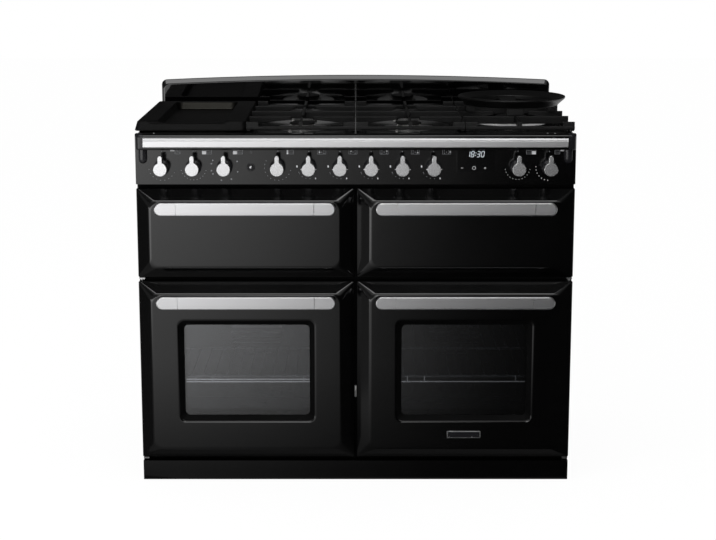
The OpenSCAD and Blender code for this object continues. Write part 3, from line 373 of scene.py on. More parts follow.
# ---------------------------------------------------------------- forms


def at(x, d, z):
    """Points in millimetres from X, depth and Z, which may be arrays."""
    x, d, z = np.broadcast_arrays(x, d, z)
    return np.stack([x, PANEL_Y + d, z], -1).astype(float)


def whole_turn(count):
    """Evenly spaced angles once round a circle."""
    return np.linspace(0, 2 * math.pi, count, endpoint=False)


class Form:
    """Gathers grids and rings of points into one mesh."""

    def __init__(self):
        self.points, self.faces, self.finishes, self.count = [], [], [], 0

    def put(self, points, faces, finish):
        self.points.append(points)
        self.faces += faces
        self.finishes += [finish] * len(faces)
        self.count += len(points)

    def grid(self, points, around=False, closed=False, finish=0):
        """Quads over points[i, j]; around joins the last j to the first, closed the last i to the first."""
        rows, columns = points.shape[:2]
        index = self.count + np.arange(rows * columns).reshape(rows, columns)
        if closed:
            index = np.vstack([index, index[:1]])
        if around:
            index = np.hstack([index, index[:, :1]])
        quads = np.stack([index[:-1, :-1], index[1:, :-1], index[1:, 1:], index[:-1, 1:]], -1)
        self.put(points.reshape(-1, 3), quads.reshape(-1, 4).tolist(), finish)

    def tube(self, rings, finish=0):
        """A closed body through rings of equal length, with a flat face over its first and last ring."""
        rings = np.asarray(rings)
        first, n = self.count, rings.shape[1]
        last = first + (len(rings) - 1) * n
        self.grid(rings, around=True, finish=finish)
        self.faces += [list(range(first, first + n)), list(range(last, last + n))]
        self.finishes += [finish] * 2

    def mirrored(self):
        """A copy with X turned round."""
        other = Form()
        other.points = [p * (-1, 1, 1) for p in self.points]
        other.faces, other.finishes, other.count = list(self.faces), list(self.finishes), self.count
        return other


def piece(name, form, finishes, node=None, body="cabinet", sharp=38):
    """The mesh object of a form: doubles merged, faces turned outwards, smooth up to the sharp angle, and
    with normals weighted by area, so that a flat face stays flat beside a round edge. A piece that stands
    for a node takes that node's body, and the node is hidden."""
    mesh = bpy.data.meshes.new(name)
    mesh.from_pydata((np.concatenate(form.points) * MM).tolist(), [], form.faces)
    for material in finishes:
        mesh.materials.append(material)
    mesh.polygons.foreach_set("material_index", form.finishes)
    work = bmesh.new()
    work.from_mesh(mesh)
    bmesh.ops.remove_doubles(work, verts=work.verts, dist=2e-6)
    bmesh.ops.recalc_face_normals(work, faces=work.faces)
    work.to_mesh(mesh)
    work.free()
    mesh.shade_smooth()
    mesh.set_sharp_from_angle(angle=math.radians(sharp))
    made = bpy.data.objects.new(name, mesh)
    bpy.context.scene.collection.objects.link(made)
    made.modifiers.new("even_normals", "WEIGHTED_NORMAL").keep_sharp = True
    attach(made, BODY_OF.get(node, body))
    if node:
        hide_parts(node)


def round_path(points, radii, steps=5):
    """A polyline whose corners are rounded: each corner becomes the quadratic curve between two points
    at its radius before and after it."""
    points = [np.array(p, float) for p in points]
    made = [points[0]]
    t = np.linspace(0, 1, steps + 1)[:, None]
    for before, corner, after, radius in zip(points, points[1:], points[2:], radii):
        start = corner + (before - corner) * min(1, radius / np.linalg.norm(before - corner))
        end = corner + (after - corner) * min(1, radius / np.linalg.norm(after - corner))
        made += list((1 - t) ** 2 * start + 2 * t * (1 - t) * corner + t ** 2 * end)
    return np.array(made + [points[-1]])


def round_rect(w, h, r, corner=8, side=4):
    """Closed outline of a rectangle with round corners: quarter circles joined by divided sides."""
    arcs = []
    for sx, sy, start in ((1, 1, 0), (-1, 1, 90), (-1, -1, 180), (1, -1, 270)):
        turn = np.radians(start + np.linspace(0, 90, corner + 1))
        centre = np.array([sx * (w / 2 - r), sy * (h / 2 - r)])
        arcs.append(centre + r * np.stack([np.cos(turn), np.sin(turn)], -1))
    share = np.linspace(0, 1, side + 2)[1:-1, None]
    parts = []
    for arc, following in zip(arcs, arcs[1:] + arcs[:1]):
        parts += [arc, arc[-1] * (1 - share) + following[0] * share]
    return np.concatenate(parts)


def upright_ring(x, z, outline, d):
    """An XZ outline about (x, z), at depth d."""
    return at(x + outline[:, 0], d, z + outline[:, 1])


def bevel_steps(size):
    """(inset, setback) pairs round a quarter circle: the inset falls from size to 0 as the setback grows."""
    turn = np.linspace(0, math.pi / 2, 5)
    return [(size * (1 - math.sin(a)), size * (1 - math.cos(a))) for a in turn]


def plate(form, outline, d0, d1, edge=1.0, back_edge=None, finish=0):
    """A plate between two depths. outline(inset) gives its XZ ring; both faces have round edges."""
    back_edge = edge if back_edge is None else back_edge
    front = [at(o[:, 0], d0 + s, o[:, 1]) for i, s in bevel_steps(edge) for o in [outline(i)]]
    back = [at(o[:, 0], d1 - s, o[:, 1]) for i, s in bevel_steps(back_edge) for o in [outline(i)]]
    form.tube(front + back[::-1], finish)


def round_plate(form, centre, w, h, r, d0, d1, edge, finish=0, corner=4):
    """A plate whose outline is a rectangle with round corners about centre, an (x, z) place."""
    plate(form, lambda i: np.array(centre) + round_rect(w - 2 * i, h - 2 * i, r, corner, 2), d0, d1, edge,
          finish=finish)


def lathe(form, profile, centre, axis="z", around=48, finish=0):
    """A body turned about an axis through centre: profile gives (radius, place along the axis)."""
    profile = np.asarray(profile, float)
    turn = whole_turn(around)
    r, h = profile[:, :1], profile[:, 1:] + 0 * turn
    a, b = r * np.cos(turn), r * np.sin(turn)
    x, d, z = centre
    rings = at(x + a, d + b, z + h) if axis == "z" else at(x + a, d + h, z + b)
    form.tube(rings, finish)


def sweep_x(form, section, x0, x1, ease=0.0, finish=0):
    """A (depth, height) section carried along X, drawn in a little at both ends."""
    middle = section.mean(0)
    drawn = middle + (section - middle) * (1 - ease / np.ptp(section, 0).max() * 2)
    rings = [(x0, drawn), (x0 + ease, section), (x1 - ease, section), (x1, drawn)]
    form.tube([at(x, s[:, 0], s[:, 1]) for x, s in rings], finish)


# ---------------------------------------------------------------- door and drawer fronts

RISE = 25.0
SLOPE_W = 34.0
SLOPE_H = 30.0
FIELD_R = 20.0
FRONT_BACK = 20.0
WINDOW_W = 316.0
WINDOW_H = 236.0
WINDOW_Z = 297.0
PANE_D = -13.0


def front_ring(z0, z1, inset, d):
    """Ring of a front at a side inset: its corners grow from tight to the field's radius on the slope."""
    share = min(inset / SLOPE_W, 1)
    rise = inset * SLOPE_H / SLOPE_W if inset < SLOPE_W else SLOPE_H + inset - SLOPE_W
    radius = 4 + (FIELD_R - 4) * share
    outline = round_rect(FRONT_W - 2 * inset, z1 - z0 - 2 * rise, radius, 12, 6)
    return upright_ring(-FRONT_X, (z0 + z1) / 2, outline, d)


def window_ring(grow, d):
    """Ring round the oven window, grown outwards from the glass edge."""
    outline = round_rect(WINDOW_W + 2 * grow, WINDOW_H + 2 * grow, 12 + grow / 3, 12, 6)
    return upright_ring(-FRONT_X, WINDOW_Z, outline, d)


def front_skin(form, z0, z1, windowed):
    """Pressed skin: edge, mitred slope and raised field, with the window's sloping matt surround."""
    outer = round_path([(0, FRONT_BACK), (0, 0), (SLOPE_W, -RISE), (SLOPE_W + 26, -RISE)], [2.5, 5], 6)
    inner = [(SLOPE_W + 26, 2 - RISE), (SLOPE_W + 2, 2 - RISE), (2.2, 1.4), (2.2, FRONT_BACK)]
    rings = [front_ring(z0, z1, i, d) for i, d in inner] + [front_ring(z0, z1, i, d) for i, d in outer]
    if windowed:
        around = round_path([(26, -RISE), (15, -RISE), (0, PANE_D - 2), (0, PANE_D - 0.1)], [3, 1], 5)
        behind = [(14.5, PANE_D - 0.1), (17, 2 - RISE), (24, 2 - RISE)]
        first = len(form.faces) + (len(rings) + 6) * len(rings[0])
        last = len(form.faces) + (len(rings) + len(around)) * len(rings[0])
        rings += [window_ring(g, d) for g, d in around] + [window_ring(g, d) for g, d in behind]
        form.grid(np.asarray(rings), around=True, closed=True)
        form.finishes[first:last] = [1] * (last - first)
    else:
        form.tube(rings)


def both_ways(form, side):
    return form.mirrored() if side == "right" else form


for side in ("left", "right"):
    skin = Form()
    front_skin(skin, DOOR_Z0, DOOR_Z1, True)
    piece(f"door_{side}_skin", both_ways(skin, side), [BLACK, FRAME_BLACK], f"door_{side}_panel")

for side, name in (("left", "grill"), ("right", "proving")):
    skin = Form()
    front_skin(skin, DRAWER_Z0, DRAWER_Z1, False)
    round_plate(skin, (-FRONT_X, (DRAWER_Z0 + DRAWER_Z1) / 2), FRONT_W - 2, DRAWER_Z1 - DRAWER_Z0 - 2, 4,
                FRONT_BACK + 0.1, FRONT_BACK + 2, 0.4)
    piece(f"{name}_skin", both_ways(skin, side), [BLACK], f"{name}_front")

# ---------------------------------------------------------------- handles

HANDLE_X0, HANDLE_X1 = -495.0, -49.5
DOOR_PULL_Z, DRAWER_PULL_Z = 481.5, 717.5
BRACKET_L = 53.0
JOINT_GAP = 0.15
BAR_D0, BAR_D1 = -69.0, -55.0
BAR_R = 16.5
POST_IN = 24.5


def bracket_outline(end, way, z, inset):
    """Half-round end of a handle: a semicircle about its post's side and a straight joint face."""
    turn = np.radians(np.linspace(90, 270, 25))
    x = end + way * BAR_R
    arc = np.stack([x + way * (BAR_R - inset) * np.cos(turn), z + (BAR_R - inset) * np.sin(turn)], -1)
    joint = end + way * (BRACKET_L - JOINT_GAP - min(inset, 0.4))
    share = np.linspace(0.2, 1, 5)[:, None]
    low = arc[-1] * (1 - share) + np.array([joint, arc[-1, 1]]) * share
    high = np.array([joint, arc[0, 1]]) * (1 - share) + arc[0] * share
    return np.concatenate([arc, low, np.array([[joint, arc[0, 1]]]), high[:-1]])


def handle_form(z):
    """Flat chrome bar between two cast ends, each on a waisted post."""
    form = Form()
    section = np.array([(BAR_D0 + BAR_D1) / 2, z]) + round_rect(BAR_D1 - BAR_D0, 2 * BAR_R, 3, 6, 3)
    sweep_x(form, section, HANDLE_X0 + BRACKET_L + JOINT_GAP, HANDLE_X1 - BRACKET_L - JOINT_GAP, 0.4)
    for end, way in ((HANDLE_X0, 1), (HANDLE_X1, -1)):
        plate(form, lambda i: bracket_outline(end, way, z, i), BAR_D0, BAR_D1, 3)
        post = round_path([(7, -58), (9, -52), (6.6, -42), (6.6, -33), (9.5, -26.2), (9.5, -25.02)],
                          [3, 6, 6, 1])
        lathe(form, post, (end + way * POST_IN, 0, z), "y", 32)
    return form


for name, side, z in (("door_left", "left", DOOR_PULL_Z), ("door_right", "right", DOOR_PULL_Z),
                      ("grill", "left", DRAWER_PULL_Z), ("proving", "right", DRAWER_PULL_Z)):
    piece(f"{name}_pull", both_ways(handle_form(z), side), [CHROME], f"{name}_handle")

# ---------------------------------------------------------------- knobs and button

KNOB_R = 17.0
LEVER_L = 34.0
LEVER_HALF = 5.8
KNOB_OUT = 48.0
FACE_T = 12.0
SKIRT_R = 19.5


def keyhole(inset):
    """Keyhole outline: a disc, a small fillet on each side and a lever with a round end."""
    fillet = 3.0
    side_x = LEVER_HALF + fillet
    side_y = math.sqrt((KNOB_R + fillet) ** 2 - side_x ** 2)
    lean = math.degrees(math.atan2(side_y, side_x))
    r, half, f = KNOB_R - inset, LEVER_HALF - inset, fillet + inset
    disc = np.radians(np.linspace(180 - lean, 360 + lean, 41))
    bend = np.radians(np.linspace(180 + lean, 180, 6))
    tip = np.radians(np.linspace(0, 180, 13))
    disc_part = np.stack([r * np.cos(disc), r * np.sin(disc)], -1)
    right = np.stack([side_x + f * np.cos(bend), side_y + f * np.sin(bend)], -1)
    end = np.stack([half * np.cos(tip), LEVER_L - LEVER_HALF + half * np.sin(tip)], -1)
    left = right[::-1] * (-1, 1)
    return np.concatenate([disc_part[:-1], right, end, left[:-1]])


def knob_form(x, ticked):
    """Skirt, waisted body, bevelled keyhole face, and two pale index ticks on the gas knobs."""
    form = Form()
    centre = np.array([x, KNOB_Z])
    skirt = round_path([(0.1, -0.3), (SKIRT_R, -0.3), (SKIRT_R, -2.5), (15.5, -6), (0.1, -6)], [1, 1.5, 2])
    lathe(form, skirt, (x, 0, KNOB_Z), "y", 48, 1)
    body = round_path([(15.4, -5.5), (13.4, -12), (13, -28), (14.5, -37)], [6, 8])
    lathe(form, body, (x, 0, KNOB_Z), "y", 48, 0)
    plate(form, lambda i: centre + keyhole(i), -KNOB_OUT, FACE_T - KNOB_OUT, 1.3, 0.8)
    if ticked:
        for way in (-1, 1):
            tick = np.array([[0, -1.3], [3.2, -0.3], [3.2, 0.3], [0, 1.3]])
            tick = centre + (tick + (KNOB_R - 0.8, 0)) * (way, 1)
            form.tube([at(tick[:, 0], d, tick[:, 1]) for d in (-KNOB_OUT + 4, -KNOB_OUT + 6.5)], 2)
    lathe(form, [(4, -1), (4, 29)], (x, 0, KNOB_Z), "y", 24, 0)
    return form


for i, x in enumerate(KNOB_X):
    piece(f"lever_{i + 1}", knob_form(x, i in GAS_KNOBS), [SATIN, GLOSS_PLASTIC, WHITE_PRINT],
          f"knob_{i + 1}")

BUTTON_X = -259.728
button = Form()
cap = round_path([(7, 12), (7, -3), (5.6, -4), (4.2, -4), (3.6, -3.4), (0.1, -3.4)], [1.2, 0.6, 0.4, 0.4])
lathe(button, cap, (BUTTON_X, 0, KNOB_Z), "y", 40)
lathe(button, [(3.4, -3), (3.4, -3.9), (2.6, -4.4), (0.1, -4.6)], (BUTTON_X, 0, KNOB_Z), "y", 32, 1)
piece("light_button_cap", button, [GLOSS_PLASTIC, SATIN], "light_button")
collar = Form()
ring = round_path([(7.4, 1.0), (7.4, -1.6), (9.6, -1.6), (10.4, -0.02), (10.4, 1.0)], [0.5, 0.6, 0.3])
ring = np.vstack([ring, ring[:1]])
turn = whole_turn(40)
collar.grid(at(BUTTON_X + ring[:, :1] * np.cos(turn), ring[:, 1:] + 0 * turn,
               KNOB_Z + ring[:, :1] * np.sin(turn)), around=True)
piece("button_collar", collar, [GLOSS_PLASTIC])

# ---------------------------------------------------------------- printed marks on the panel

MARK_D = (-0.12, 0.2)
ICON_Z = 849.5
DOT_SIDES = 14


def flat_mark(form, outline, finish=0, depths=MARK_D):
    """A thin printed mark from an XZ outline."""
    outline = np.asarray(outline, float)
    form.tube([at(outline[:, 0], d, outline[:, 1]) for d in depths], finish)


def dot(form, x, z, r, finish=0):
    turn = whole_turn(DOT_SIDES)
    flat_mark(form, np.stack([x + r * np.cos(turn), z + r * np.sin(turn)], -1), finish)


def bar_mark(form, x, z, w, h, turn=0.0, finish=0, depths=MARK_D):
    """A bar about (x, z), turned by that many degrees."""
    c, s = math.cos(math.radians(turn)), math.sin(math.radians(turn))
    corners = np.array([[-w, -h], [w, -h], [w, h], [-w, h]]) / 2
    flat_mark(form, corners @ np.array([[c, s], [-s, c]]) + (x, z), finish, depths)


def frame_mark(form, x, z, w, h, line=0.7):
    """Four faint bars round a rectangle."""
    for sx in (-1, 1):
        bar_mark(form, x + sx * w / 2, z, line, h + line, 0, 1)
        bar_mark(form, x, z + sx * h / 2, w - line, line, 0, 1)


def flame_mark(form, x, z, size):
    """A small drop-shaped flame: a circle that is squeezed sideways towards its top."""
    turn = whole_turn(16)
    squeeze = 0.75 - 0.5 * np.clip(np.sin(turn), 0, 1) ** 2
    flat_mark(form, np.stack([x + size * squeeze * np.cos(turn), z + size * 1.25 * np.sin(turn)], -1))


def arc_dots(form, x, degrees, r, size, finish=1):
    """Dots round a knob at those angles, counted anticlockwise from 3 o'clock."""
    for a in np.radians(degrees):
        dot(form, x + r * math.cos(a), KNOB_Z + r * math.sin(a), size, finish)


marks = Form()
for x, z, w, h in ((-454, 854.6, 11, 3.4), (-375.4, 849.3, 10, 8.4), (-298.6, 849.3, 9.8, 8.4),
                   (-168.8, 850.4, 3.4, 10.6), (441.6, 849.3, 10, 8.4), (512.3, 854.6, 10.6, 3.4)):
    bar_mark(marks, x, z, w, h)
    beside = x + (-1 if x > 0 else 1) * (w / 2 + 7.5)
    frame_mark(marks, beside, ICON_Z + 1, 12.5, 9)
    bar_mark(marks, beside, ICON_Z + 1, 11, 0.6, 0, 1)
for i, (dx, dz) in zip(GAS_KNOBS, ((-5.5, 0.8), (-5, 3.4), (6.5, 3.6), (5.8, -0.6), (9.2, 1.6))):
    x = KNOB_X[i] + 32
    dot(marks, x + dx, ICON_Z + dz, 1.9)
    frame_mark(marks, x, ICON_Z + 1.2, 20, 10.5, 0.6)
    for sx, sz in ((-5.5, 3.2), (-5.5, -2.6), (5.5, 3.2), (5.5, -2.6), (0, 0)):
        dot(marks, x + sx, ICON_Z + 1 + sz, 1.1, 1)
for i in GAS_KNOBS:
    x = KNOB_X[i]
    flame_mark(marks, x - 29.5, KNOB_Z + 2, 2.6)
    flame_mark(marks, x + 16.5, KNOB_Z - 28, 1.9)
    dot(marks, x - 25, KNOB_Z - 13, 0.9, 1)
    arc_dots(marks, x, np.linspace(215, 275, 4), 29, 0.8)
    dot(marks, x, KNOB_Z + 39, 1.1, 1)
for i, first, last, count, r, size in ((0, 190, 335, 9, 33, 0.9), (1, 195, 345, 11, 32, 1.0),
                                       (3, 150, 345, 12, 33, 0.9), (9, 190, 350, 12, 31, 0.8),
                                       (10, 178, 265, 7, 33, 1.1)):
    arc_dots(marks, KNOB_X[i], np.linspace(first, last, count), r, size, 0 if i > 8 else 1)
    dot(marks, KNOB_X[i], KNOB_Z + 39.5, 1.2, 1)
arc_dots(marks, KNOB_X[2], (-62, -105, -150, 195, 165, 150, 25, -20), 34, 1.9)
for a in range(0, 360, 60):
    bar_mark(marks, -258.9 + 2.6 * math.cos(math.radians(a)), 850.7 + 2.6 * math.sin(math.radians(a)),
             1.8, 0.5, a, 1)
piece("panel_marks", marks, [WHITE_PRINT, FAINT_PRINT], sharp=30)

# ---------------------------------------------------------------- clock

CLOCK_X, CLOCK_Z = 298.378, 827.5
clock = Form()
round_plate(clock, (CLOCK_X, CLOCK_Z), 95.8, 55.8, 2, -1, 1.5, 0.5, corner=5)
round_plate(clock, (CLOCK_X, CLOCK_Z - 0.75), 104, 62.5, 3, 1.5, 20, 0.6, 1)
piece("clock_window", clock, [WINDOW_BLACK, GLOSS_PLASTIC], "clock_display")

SEGMENTS = {"a": (0, 1, 1), "b": (0.5, 0.5, 0), "c": (0.5, -0.5, 0), "d": (0, -1, 1), "e": (-0.5, -0.5, 0),
            "f": (-0.5, 0.5, 0), "g": (0, 0, 1)}
DIGITS = {"1": "bc", "8": "abcdefg", "3": "abcdg", "0": "abcdef"}
DIGIT_W, DIGIT_HALF_H, DIGIT_LEAN = 6.6, 7.0, 0.16
DIGIT_Z, KEY_Z = 845.6, 811.0
DIGIT_D = (-1.08, -0.9)


def digit(form, value, x):
    """Seven-segment digit that leans to the right; each segment is a long hexagon."""
    for key in DIGITS[value]:
        sx, sz, level = SEGMENTS[key]
        long = (DIGIT_W if level else DIGIT_HALF_H) - 0.9
        hexagon = np.array([[-long / 2, 0], [-long / 2 + 0.5, -0.5], [long / 2 - 0.5, -0.5], [long / 2, 0],
                            [long / 2 - 0.5, 0.5], [-long / 2 + 0.5, 0.5]])
        if not level:
            hexagon = hexagon[:, ::-1]
        hexagon = hexagon + (sx * DIGIT_W, sz * DIGIT_HALF_H)
        hexagon = np.stack([x + hexagon[:, 0] + DIGIT_LEAN * hexagon[:, 1], DIGIT_Z + hexagon[:, 1]], -1)
        flat_mark(form, hexagon, 0, DIGIT_D)


digits = Form()
for value, x in (("1", 279.5), ("8", 290.0), ("3", 304.5), ("0", 315.0)):
    digit(digits, value, x)
for dz in (-3, 3):
    bar_mark(digits, 297.3 + DIGIT_LEAN * dz, DIGIT_Z + dz, 1.6, 1.6, 0, 0, DIGIT_D)
for x, w, h in ((264, 5, 1.1), (321, 5, 1.1), (321, 1.1, 5)):
    bar_mark(digits, x, KEY_Z, w, h, 0, 1, DIGIT_D)
turn = whole_turn(24)
rings = [at(293.6 + r * np.cos(turn), d, KEY_Z + r * np.sin(turn))
         for r, d in ((4.4, -0.9), (4.4, -1.08), (3.6, -1.08), (3.6, -0.9))]
digits.grid(np.array(rings), around=True, closed=True, finish=1)
piece("clock_digits", digits, [LIT, WHITE_PRINT], sharp=30)

# ---------------------------------------------------------------- front rail

RAIL_FRONT, RAIL_BACK = -15.0, 12.0
RAIL_BOTTOM, RAIL_TOP = 857.0, 897.0
CAP_X = 21.0


def rail_section():
    """Section of the rail in depth and height, with its round nose."""
    corners = [(RAIL_BACK, 860), (RAIL_BACK, RAIL_BOTTOM), (RAIL_FRONT, RAIL_BOTTOM), (RAIL_FRONT, RAIL_TOP),
               (RAIL_BACK, RAIL_TOP), (RAIL_BACK, 862)]
    return round_path(corners, [1, 5, 9, 2.5], 8)


section = rail_section()
rail = Form()
sweep_x(rail, section, -HALF_W + CAP_X + 0.1, HALF_W - CAP_X - 0.1, 0.3)
TONGUE_X, TONGUE_HALF, TONGUE_OUT = -527.0, 11.0, 8.0
TONGUE_Z0, TONGUE_Z1, TONGUE_ROUND = 862.0, 834.0, 12.0


def rail_cap():
    """Moulded end: the rail's section, drawn back round the corner of the plan, and a bullet tongue."""
    form = Form()
    plan_r = 14.0
    xs = np.concatenate([-HALF_W + plan_r * (1 - np.cos(np.linspace(0, math.pi / 2, 12))),
                         [-HALF_W + CAP_X - 0.4, -HALF_W + CAP_X]])
    rings = []
    for x in xs:
        back = plan_r - math.sqrt(max(plan_r ** 2 - max(plan_r - (x + HALF_W), 0) ** 2, 0))
        share = (RAIL_BACK - RAIL_FRONT - back) / (RAIL_BACK - RAIL_FRONT)
        sink = 1 - 0.06 * (back / plan_r) ** 2
        depth = RAIL_BACK + (section[:, 0] - RAIL_BACK) * share
        rings.append(at(x, depth, RAIL_BOTTOM + (section[:, 1] - RAIL_BOTTOM) * sink))
    form.tube(rings)
    across = np.radians(np.linspace(0, 180, 17))
    tip = np.linspace(0, math.pi / 2, 9)
    bulge = np.concatenate([np.full(6, 1.0), np.cos(tip)])
    z = np.concatenate([np.linspace(TONGUE_Z0, TONGUE_Z1, 6), TONGUE_Z1 - TONGUE_ROUND * np.sin(tip)])
    rings = []
    for b, height in zip(bulge, z):
        half, deep = max(TONGUE_HALF * b, 0.3), max(TONGUE_OUT * b, 0.2)
        rings.append(np.concatenate([at(TONGUE_X + half * np.cos(across), -deep * np.sin(across), height),
                                     at(np.array([TONGUE_X - half, TONGUE_X + half]), 0.6, height)]))
    form.tube(rings)
    return form


left_cap = rail_cap()
for form in (left_cap, left_cap.mirrored()):
    rail.points += form.points
    rail.faces += [[v + rail.count for v in face] for face in form.faces]
    rail.finishes += [1] * len(form.faces)
    rail.count += form.count
piece("hob_front_rail", rail, [BLACK, GLOSS_PLASTIC], "front_rail", sharp=50)

strip = Form()
strip_section = round_path([(-15, 876), (-15, 863.8), (-18, 864.4), (-18, 879.4), (-16.4, 880.2),
                            (-16.4, 881.4), (-17.6, 881.8), (-15.7, 886.5), (-15, 886.5), (-15, 877)],
                           [0.2, 0.8, 0.8, 0.3, 0.3, 0.3, 0.6, 0.2], 4)
sweep_x(strip, strip_section, -HALF_W + CAP_X + 0.5, HALF_W - CAP_X - 0.5, 0.3)
piece("rail_trim", strip, [CHROME], "rail_strip")

# ---------------------------------------------------------------- upstand

UPSTAND_D0, UPSTAND_D1 = 585.0, 600.0
UPSTAND_HALF = 543.5
UPSTAND_FOOT = 890.0
UPSTAND_END = 977.5
UPSTAND_ARCH = 12.5
UPSTAND_CORNER = 14.0
UPSTAND_LEAN = 3.0


def upstand_ring(drop, draw, d):
    """Outline of the upstand: level foot, upright ends, round corners and an arc that rises to the middle.
    Its face leans forward a little towards the top."""
    half, top, corner = UPSTAND_HALF - draw, UPSTAND_END - drop, UPSTAND_CORNER
    u = np.linspace(1, -1, 61)
    arc = np.stack([u * (half - corner), top + UPSTAND_ARCH * (1 - u ** 2)], -1)
    bend = np.radians(np.linspace(0, 90, 9))[:-1]
    right = np.stack([half - corner + corner * np.cos(bend), top - corner + corner * np.sin(bend)], -1)
    foot = np.array([[half, UPSTAND_FOOT], [half, 930.0]])
    outline = np.concatenate([foot, right, arc, right[::-1] * (-1, 1), foot[::-1] * (-1, 1)])
    down = np.clip((UPSTAND_END - outline[:, 1]) / (UPSTAND_END - UPSTAND_FOOT), 0, 1)
    lean = UPSTAND_LEAN * down * (UPSTAND_D1 - d) / (UPSTAND_D1 - UPSTAND_D0)
    return at(outline[:, 0], d + lean, outline[:, 1])


upstand = Form()
upstand.tube([upstand_ring(*r) for r in ((13.6, 9.0, 585), (12.6, 7.2, 585), (11.7, 4.6, 585.6),
                                         (10.6, 2.4, 587), (1.2, 0.2, 590.6), (0.4, 0, 591.2), (0, 0, 592),
                                         (0, 0, 599.2), (0.7, 0.7, 600))])
piece("upstand_pressing", upstand, [UPSTAND_BLACK], "upstand", sharp=50)

# ---------------------------------------------------------------- burners

crowns, tops = Form(), Form()
PORT_DEPTH = 3.4


def crown(form, x, d, base_r, crown_r, high, dish_r, ports):
    """Burner: a pressed dish with a rolled rim, a turned flange, and a crown whose upper wall is notched by
    a port wave round the axis."""
    dish = round_path([(base_r - 2, HOB_Z + 0.05), (dish_r, HOB_Z + 0.05), (dish_r, HOB_Z + 0.8),
                       (dish_r - 3.2, HOB_Z + 0.8), (dish_r - 5, HOB_Z + 0.3), (base_r + 5, HOB_Z + 0.3),
                       (base_r - 2, HOB_Z + 0.6)], [0.3, 0.3, 1, 2, 2])
    lathe(form, dish, (x, d, 0), "z", 96, 4 if base_r > 50 else 3)
    top = HOB_Z + 3 + high
    profile = [(0.1, HOB_Z), (22, HOB_Z), (base_r - 1, HOB_Z + 0.05), (base_r, HOB_Z + 1.2),
               (base_r - 1.2, HOB_Z + 3), (crown_r + 2.5, HOB_Z + 3.4), (crown_r, HOB_Z + 5),
               (crown_r, top - 3.6), (crown_r, top - 3.4), (crown_r, top - 0.1), (0.1, top)]
    notch = np.array([0, 0, 0, 0, 0, 0, 0, 0, 1, 1, 0])[:, None]
    turn = whole_turn(ports * 8)
    profile = np.array(profile)
    r = profile[:, :1] - notch * (np.sin(ports * turn) > 0.2) * PORT_DEPTH
    form.tube(at(x + r * np.cos(turn), d + r * np.sin(turn), profile[:, 1:] + 0 * turn))
    lathe(form, [(22, 866), (22, HOB_Z + 0.5)], (x, d, 0), "z", 32)
    side = (base_r + 7) * math.cos(math.radians(225))
    ahead = (base_r + 7) * math.sin(math.radians(225))
    igniter = (x + side, d + ahead, 0)
    lathe(form, round_path([(4, 892), (4, 896), (2.6, 898.5), (0.1, 899)], [0.8, 1]), igniter, "z", 16, 1)
    lathe(form, round_path([(1.4, 898), (1.4, 902), (0.1, 903)], [0.8]), igniter, "z", 12, 2)


def cap_profile(r, z):
    """Enamelled cap from its underside up: round edge, low dome and a shallow groove."""
    return round_path([(0.1, z - 0.4), (r - 1, z - 0.4), (r, z + 1.4), (r - 1.4, z + 3.8),
                       (r * 0.72, z + 4.6), (r * 0.66, z + 4.0), (r * 0.6, z + 4.7), (0.1, z + 5.4)],
                      [0.6, 1.2, 1.6, 1.5, 1, 1.5])


places = [(x, d, *SMALL_BURNER) for x, d in ((-PAIR_X, NEAR_D), (-PAIR_X, FAR_D), (PAIR_X, FAR_D),
                                             (PAIR_X, NEAR_D))]
for x, d, base_r, crown_r, high, dish_r in places + [(WOK_X, MID_D, *WOK_BURNER)]:
    wok = x == WOK_X
    crown(crowns, x, d, base_r, crown_r, high, dish_r, 26 if wok else 20)
    lathe(tops, cap_profile(crown_r + (-1 if wok else 2), HOB_Z + 3 + high), (x, d, 0), "z", 64)
piece("burner_crowns", crowns, [ALLOY, CERAMIC, STEEL, DISH, WOK_DISH], "burner_bases", sharp=35)
piece("burner_tops", tops, [CAP_IRON], "burner_caps")

# ---------------------------------------------------------------- cast pan supports and wok ring

BAR_W = 10.0
BAR_H = 20.0
TIP_W = 7.0
TIP_H = 9.0
EDGE_Z = REST_Z - 10.5
SUPPORT_X = 135.5
SUPPORT_D0, SUPPORT_D1 = 26.0, 546.0
LEG_IN = 22.0


def cast_section(w, h):
    """Section of a cast bar across and up from its top: round top edges, drafted sides, round foot."""
    corners = [(0, 0), (w / 2, 0), (w / 2 - 0.7, -h), (-w / 2 + 0.7, -h), (-w / 2, 0), (-0.01, 0)]
    return round_path(corners, [2.6, 1.6, 1.6, 2.6], 4)


def cast_bar(form, x0, d0, x1, d1, w0=BAR_W, w1=BAR_W, h0=BAR_H, h1=BAR_H, top=REST_Z, round_end=False):
    """A bar from one point to the other whose section changes evenly; its far end may be rounded off."""
    start, end = np.array([x0, d0], float), np.array([x1, d1], float)
    length = np.linalg.norm(end - start)
    along = (end - start) / length
    across = np.array([-along[1], along[0]])
    steps = [(0, 1), (0.5, 1), (1 - 6 / length, 1), (1 - 2.5 / length, 0.9), (1 - 0.6 / length, 0.62),
             (1, 0.3)] if round_end else [(0, 1), (1, 1)]
    rings = []
    for t, shrink in steps:
        w, h = w0 + (w1 - w0) * t, h0 + (h1 - h0) * t
        profile = cast_section(w * shrink, h * (0.5 + shrink / 2))
        place = start + along * length * t + across * profile[:, :1]
        rings.append(at(place[:, 0], place[:, 1], top - (1 - shrink) * 2 + profile[:, 1]))
    form.tube(rings)


def cross_bar(form, cx, d, **sizes):
    """A bar over a support's whole width."""
    cast_bar(form, cx - SUPPORT_X + 0.2, d, cx + SUPPORT_X - 0.2, d, **sizes)


